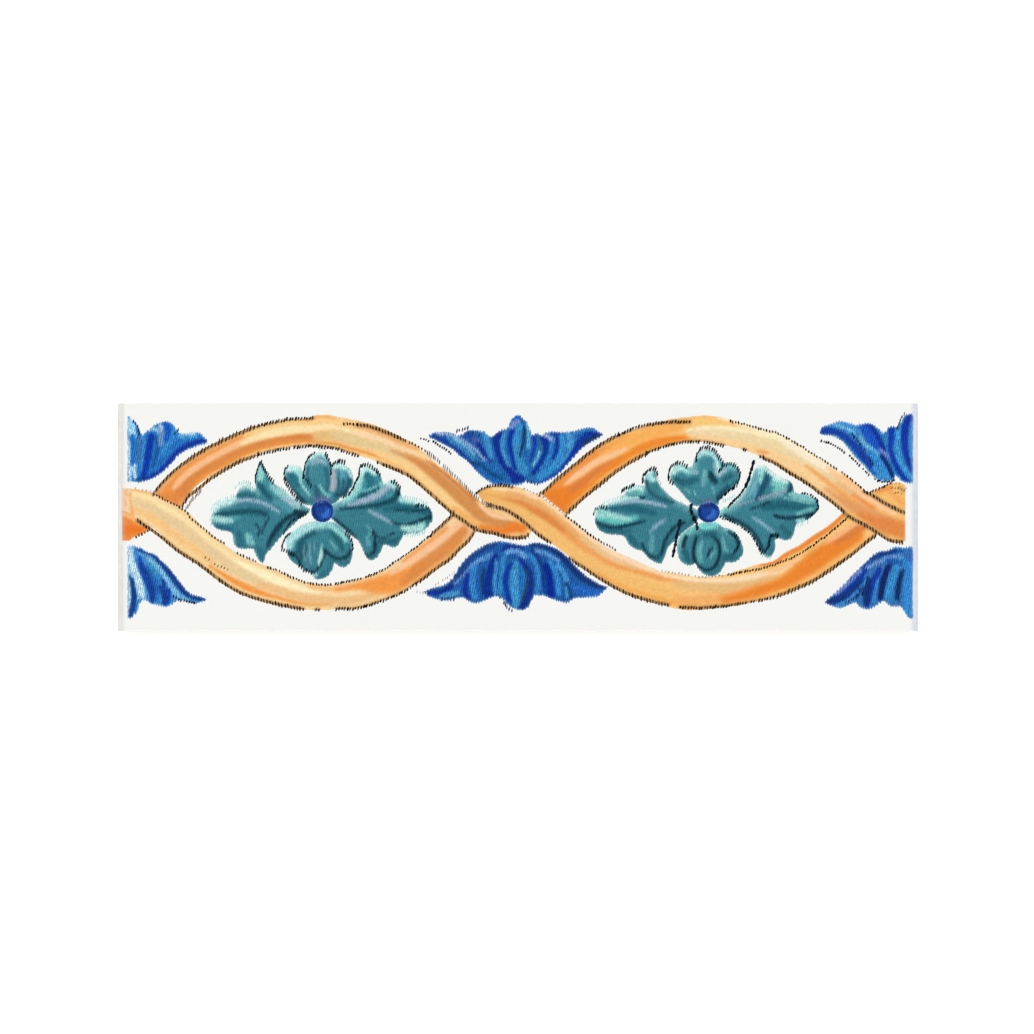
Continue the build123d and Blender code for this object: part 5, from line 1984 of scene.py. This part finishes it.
# %% Put the skin on the tile
LAND_FOOT = 3.75  # millimetres up, below which the edge leans in and is never glazed
mesh.materials.append(painted_glaze)
mesh.materials.append(bare_biscuit)
for face in mesh.polygons:
    face.material_index = int(face.center.z / MM < LAND_FOOT)
tile = bpy.data.objects.new("painted_tile", mesh)
bpy.context.scene.collection.objects.link(tile)
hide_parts(TILE)
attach(tile, "root")
print("bare faces:", sum(face.material_index for face in mesh.polygons))

# %% [markdown]
# ## The studio
# The tile lies on a white table under large soft lights. A glossy face mirrors whatever is
# straight above it, so a dark card hangs there, above the camera, and keeps the blues deep. The
# table has a hole that the tile covers, so its back can be looked at from below.

# %% Camera
PHOTO_SIDE = 1034  # pixels along the square frame
PIXELS_PER_MM = 4.0
MIDDLE = (518.0, 517.4)  # where the tile's middle lies in the frame
EDGE_HEIGHT = 0.006  # the tile is widest here, so the scale holds here
camera_data = bpy.data.cameras.new("camera")
camera_data.lens, camera_data.sensor_width = 135, 36
away = PHOTO_SIDE / PIXELS_PER_MM * MM * camera_data.lens / camera_data.sensor_width
camera = bpy.data.objects.new("camera", camera_data)
left = (MIDDLE[0] - PHOTO_SIDE / 2) / PIXELS_PER_MM * MM
down = (MIDDLE[1] - PHOTO_SIDE / 2) / PIXELS_PER_MM * MM
camera.location = (-left, down, EDGE_HEIGHT + away)
bpy.context.scene.collection.objects.link(camera)
bpy.context.scene.camera = camera
print("camera, m:", [round(part, 4) for part in camera.location])

# %% A white table and a dark card
TURNS = ((-1, -1), (1, -1), (1, 1), (-1, 1))  # a square's corners, anticlockwise
TABLE_SIDE = 8.0
TABLE_DROP = 0.00002  # metres; a face that lay level with the tile's back would flicker with it
HOLE_INSET = 0.0009  # the table's hole is this much smaller than the tile, all round
TABLE_GLOW = 0.3  # what the camera sees on top of the light that falls on the table
CARD_SIDE = 0.9
CARD_HEIGHT = 1.25


def flat_square(name, side, height, material, hole=None):
    """A staged square that faces up, with a hole of these half sizes in its middle or none."""
    square = bpy.data.meshes.new(name)
    corners = [(x * side / 2, y * side / 2, height) for x, y in TURNS]
    faces = [(0, 1, 2, 3)]
    if hole:
        corners += [(x * hole[0], y * hole[1], height) for x, y in TURNS]
        faces = [(a, (a + 1) % 4, (a + 1) % 4 + 4, a + 4) for a in range(4)]
    square.from_pydata(corners, [], faces)
    square.materials.append(material)
    made = bpy.data.objects.new(name, square)
    bpy.context.scene.collection.objects.link(made)
    return made


def seen_directly(nodes):
    """1 for rays from the camera, and for those that a gloss or glass sends on."""
    rays = nodes.node("ShaderNodeLightPath")
    bright = nodes.maths("MAXIMUM", rays.other("Is Camera Ray"), rays.other("Is Glossy Ray"))
    return nodes.maths("MAXIMUM", bright, rays.other("Is Transmission Ray"))


table_white = bpy.data.materials.new("table_white")
nodes, output = fresh_nodes(table_white)
matt = nodes.node("ShaderNodeBsdfDiffuse", inputs={"Color": (0.9, 0.9, 0.9, 1)})
glow = nodes.node("ShaderNodeEmission", inputs={"Strength": seen_directly(nodes) * TABLE_GLOW})
both = nodes.node("ShaderNodeAddShader", inputs={0: matt, 1: glow})
nodes.tree.links.new(both.socket, output.inputs["Surface"])
hole = (highest.x - HOLE_INSET, highest.y - HOLE_INSET)
flat_square("table", TABLE_SIDE, -TABLE_DROP, table_white, hole)

card_black = bpy.data.materials.new("card_black")
nodes, output = fresh_nodes(card_black)
soot = nodes.node("ShaderNodeBsdfDiffuse", inputs={"Color": (0.01, 0.01, 0.01, 1)})
nodes.tree.links.new(soot.socket, output.inputs["Surface"])
card = flat_square("dark_card", CARD_SIDE, CARD_HEIGHT, card_black)
card.visible_camera = False
print("table and card of", TABLE_SIDE, "and", CARD_SIDE, "m")

# %% Lamps and a white room
AMBIENT = 0.71  # strength of the room's light on the tile; seen directly, the room is full white
LAMPS = (
    # name, place, size, watts
    ("lamp_left", (-1.5, 0.5, 1.5), 1.4, 13.5),
    ("lamp_right", (1.5, 0.3, 1.6), 1.4, 11.5),
    ("lamp_front", (0.1, -1.7, 1.5), 1.4, 9.0),
)
for name, spot, side, watts in LAMPS:
    lamp = bpy.data.lights.new(name, "AREA")
    lamp.size, lamp.energy = side, watts
    holder = bpy.data.objects.new(name, lamp)
    holder.location = spot
    holder.rotation_euler = (-Vector(spot)).to_track_quat("-Z", "Y").to_euler()
    holder.visible_camera = False
    bpy.context.scene.collection.objects.link(holder)

world = bpy.data.worlds.new("white_room")
bpy.context.scene.world = world
world.use_nodes = True
world.node_tree.nodes.clear()
nodes = Wire(world.node_tree)
strength = AMBIENT + seen_directly(nodes) * (1 - AMBIENT)
sky = nodes.node("ShaderNodeBackground", inputs={"Strength": strength, "Color": (1, 1, 1, 1)})
nodes.tree.links.new(sky.socket, nodes.tree.nodes.new("ShaderNodeOutputWorld").inputs[0])
bpy.context.scene.view_settings.view_transform = "Standard"
print("lamps:", [name for name, *_ in LAMPS])
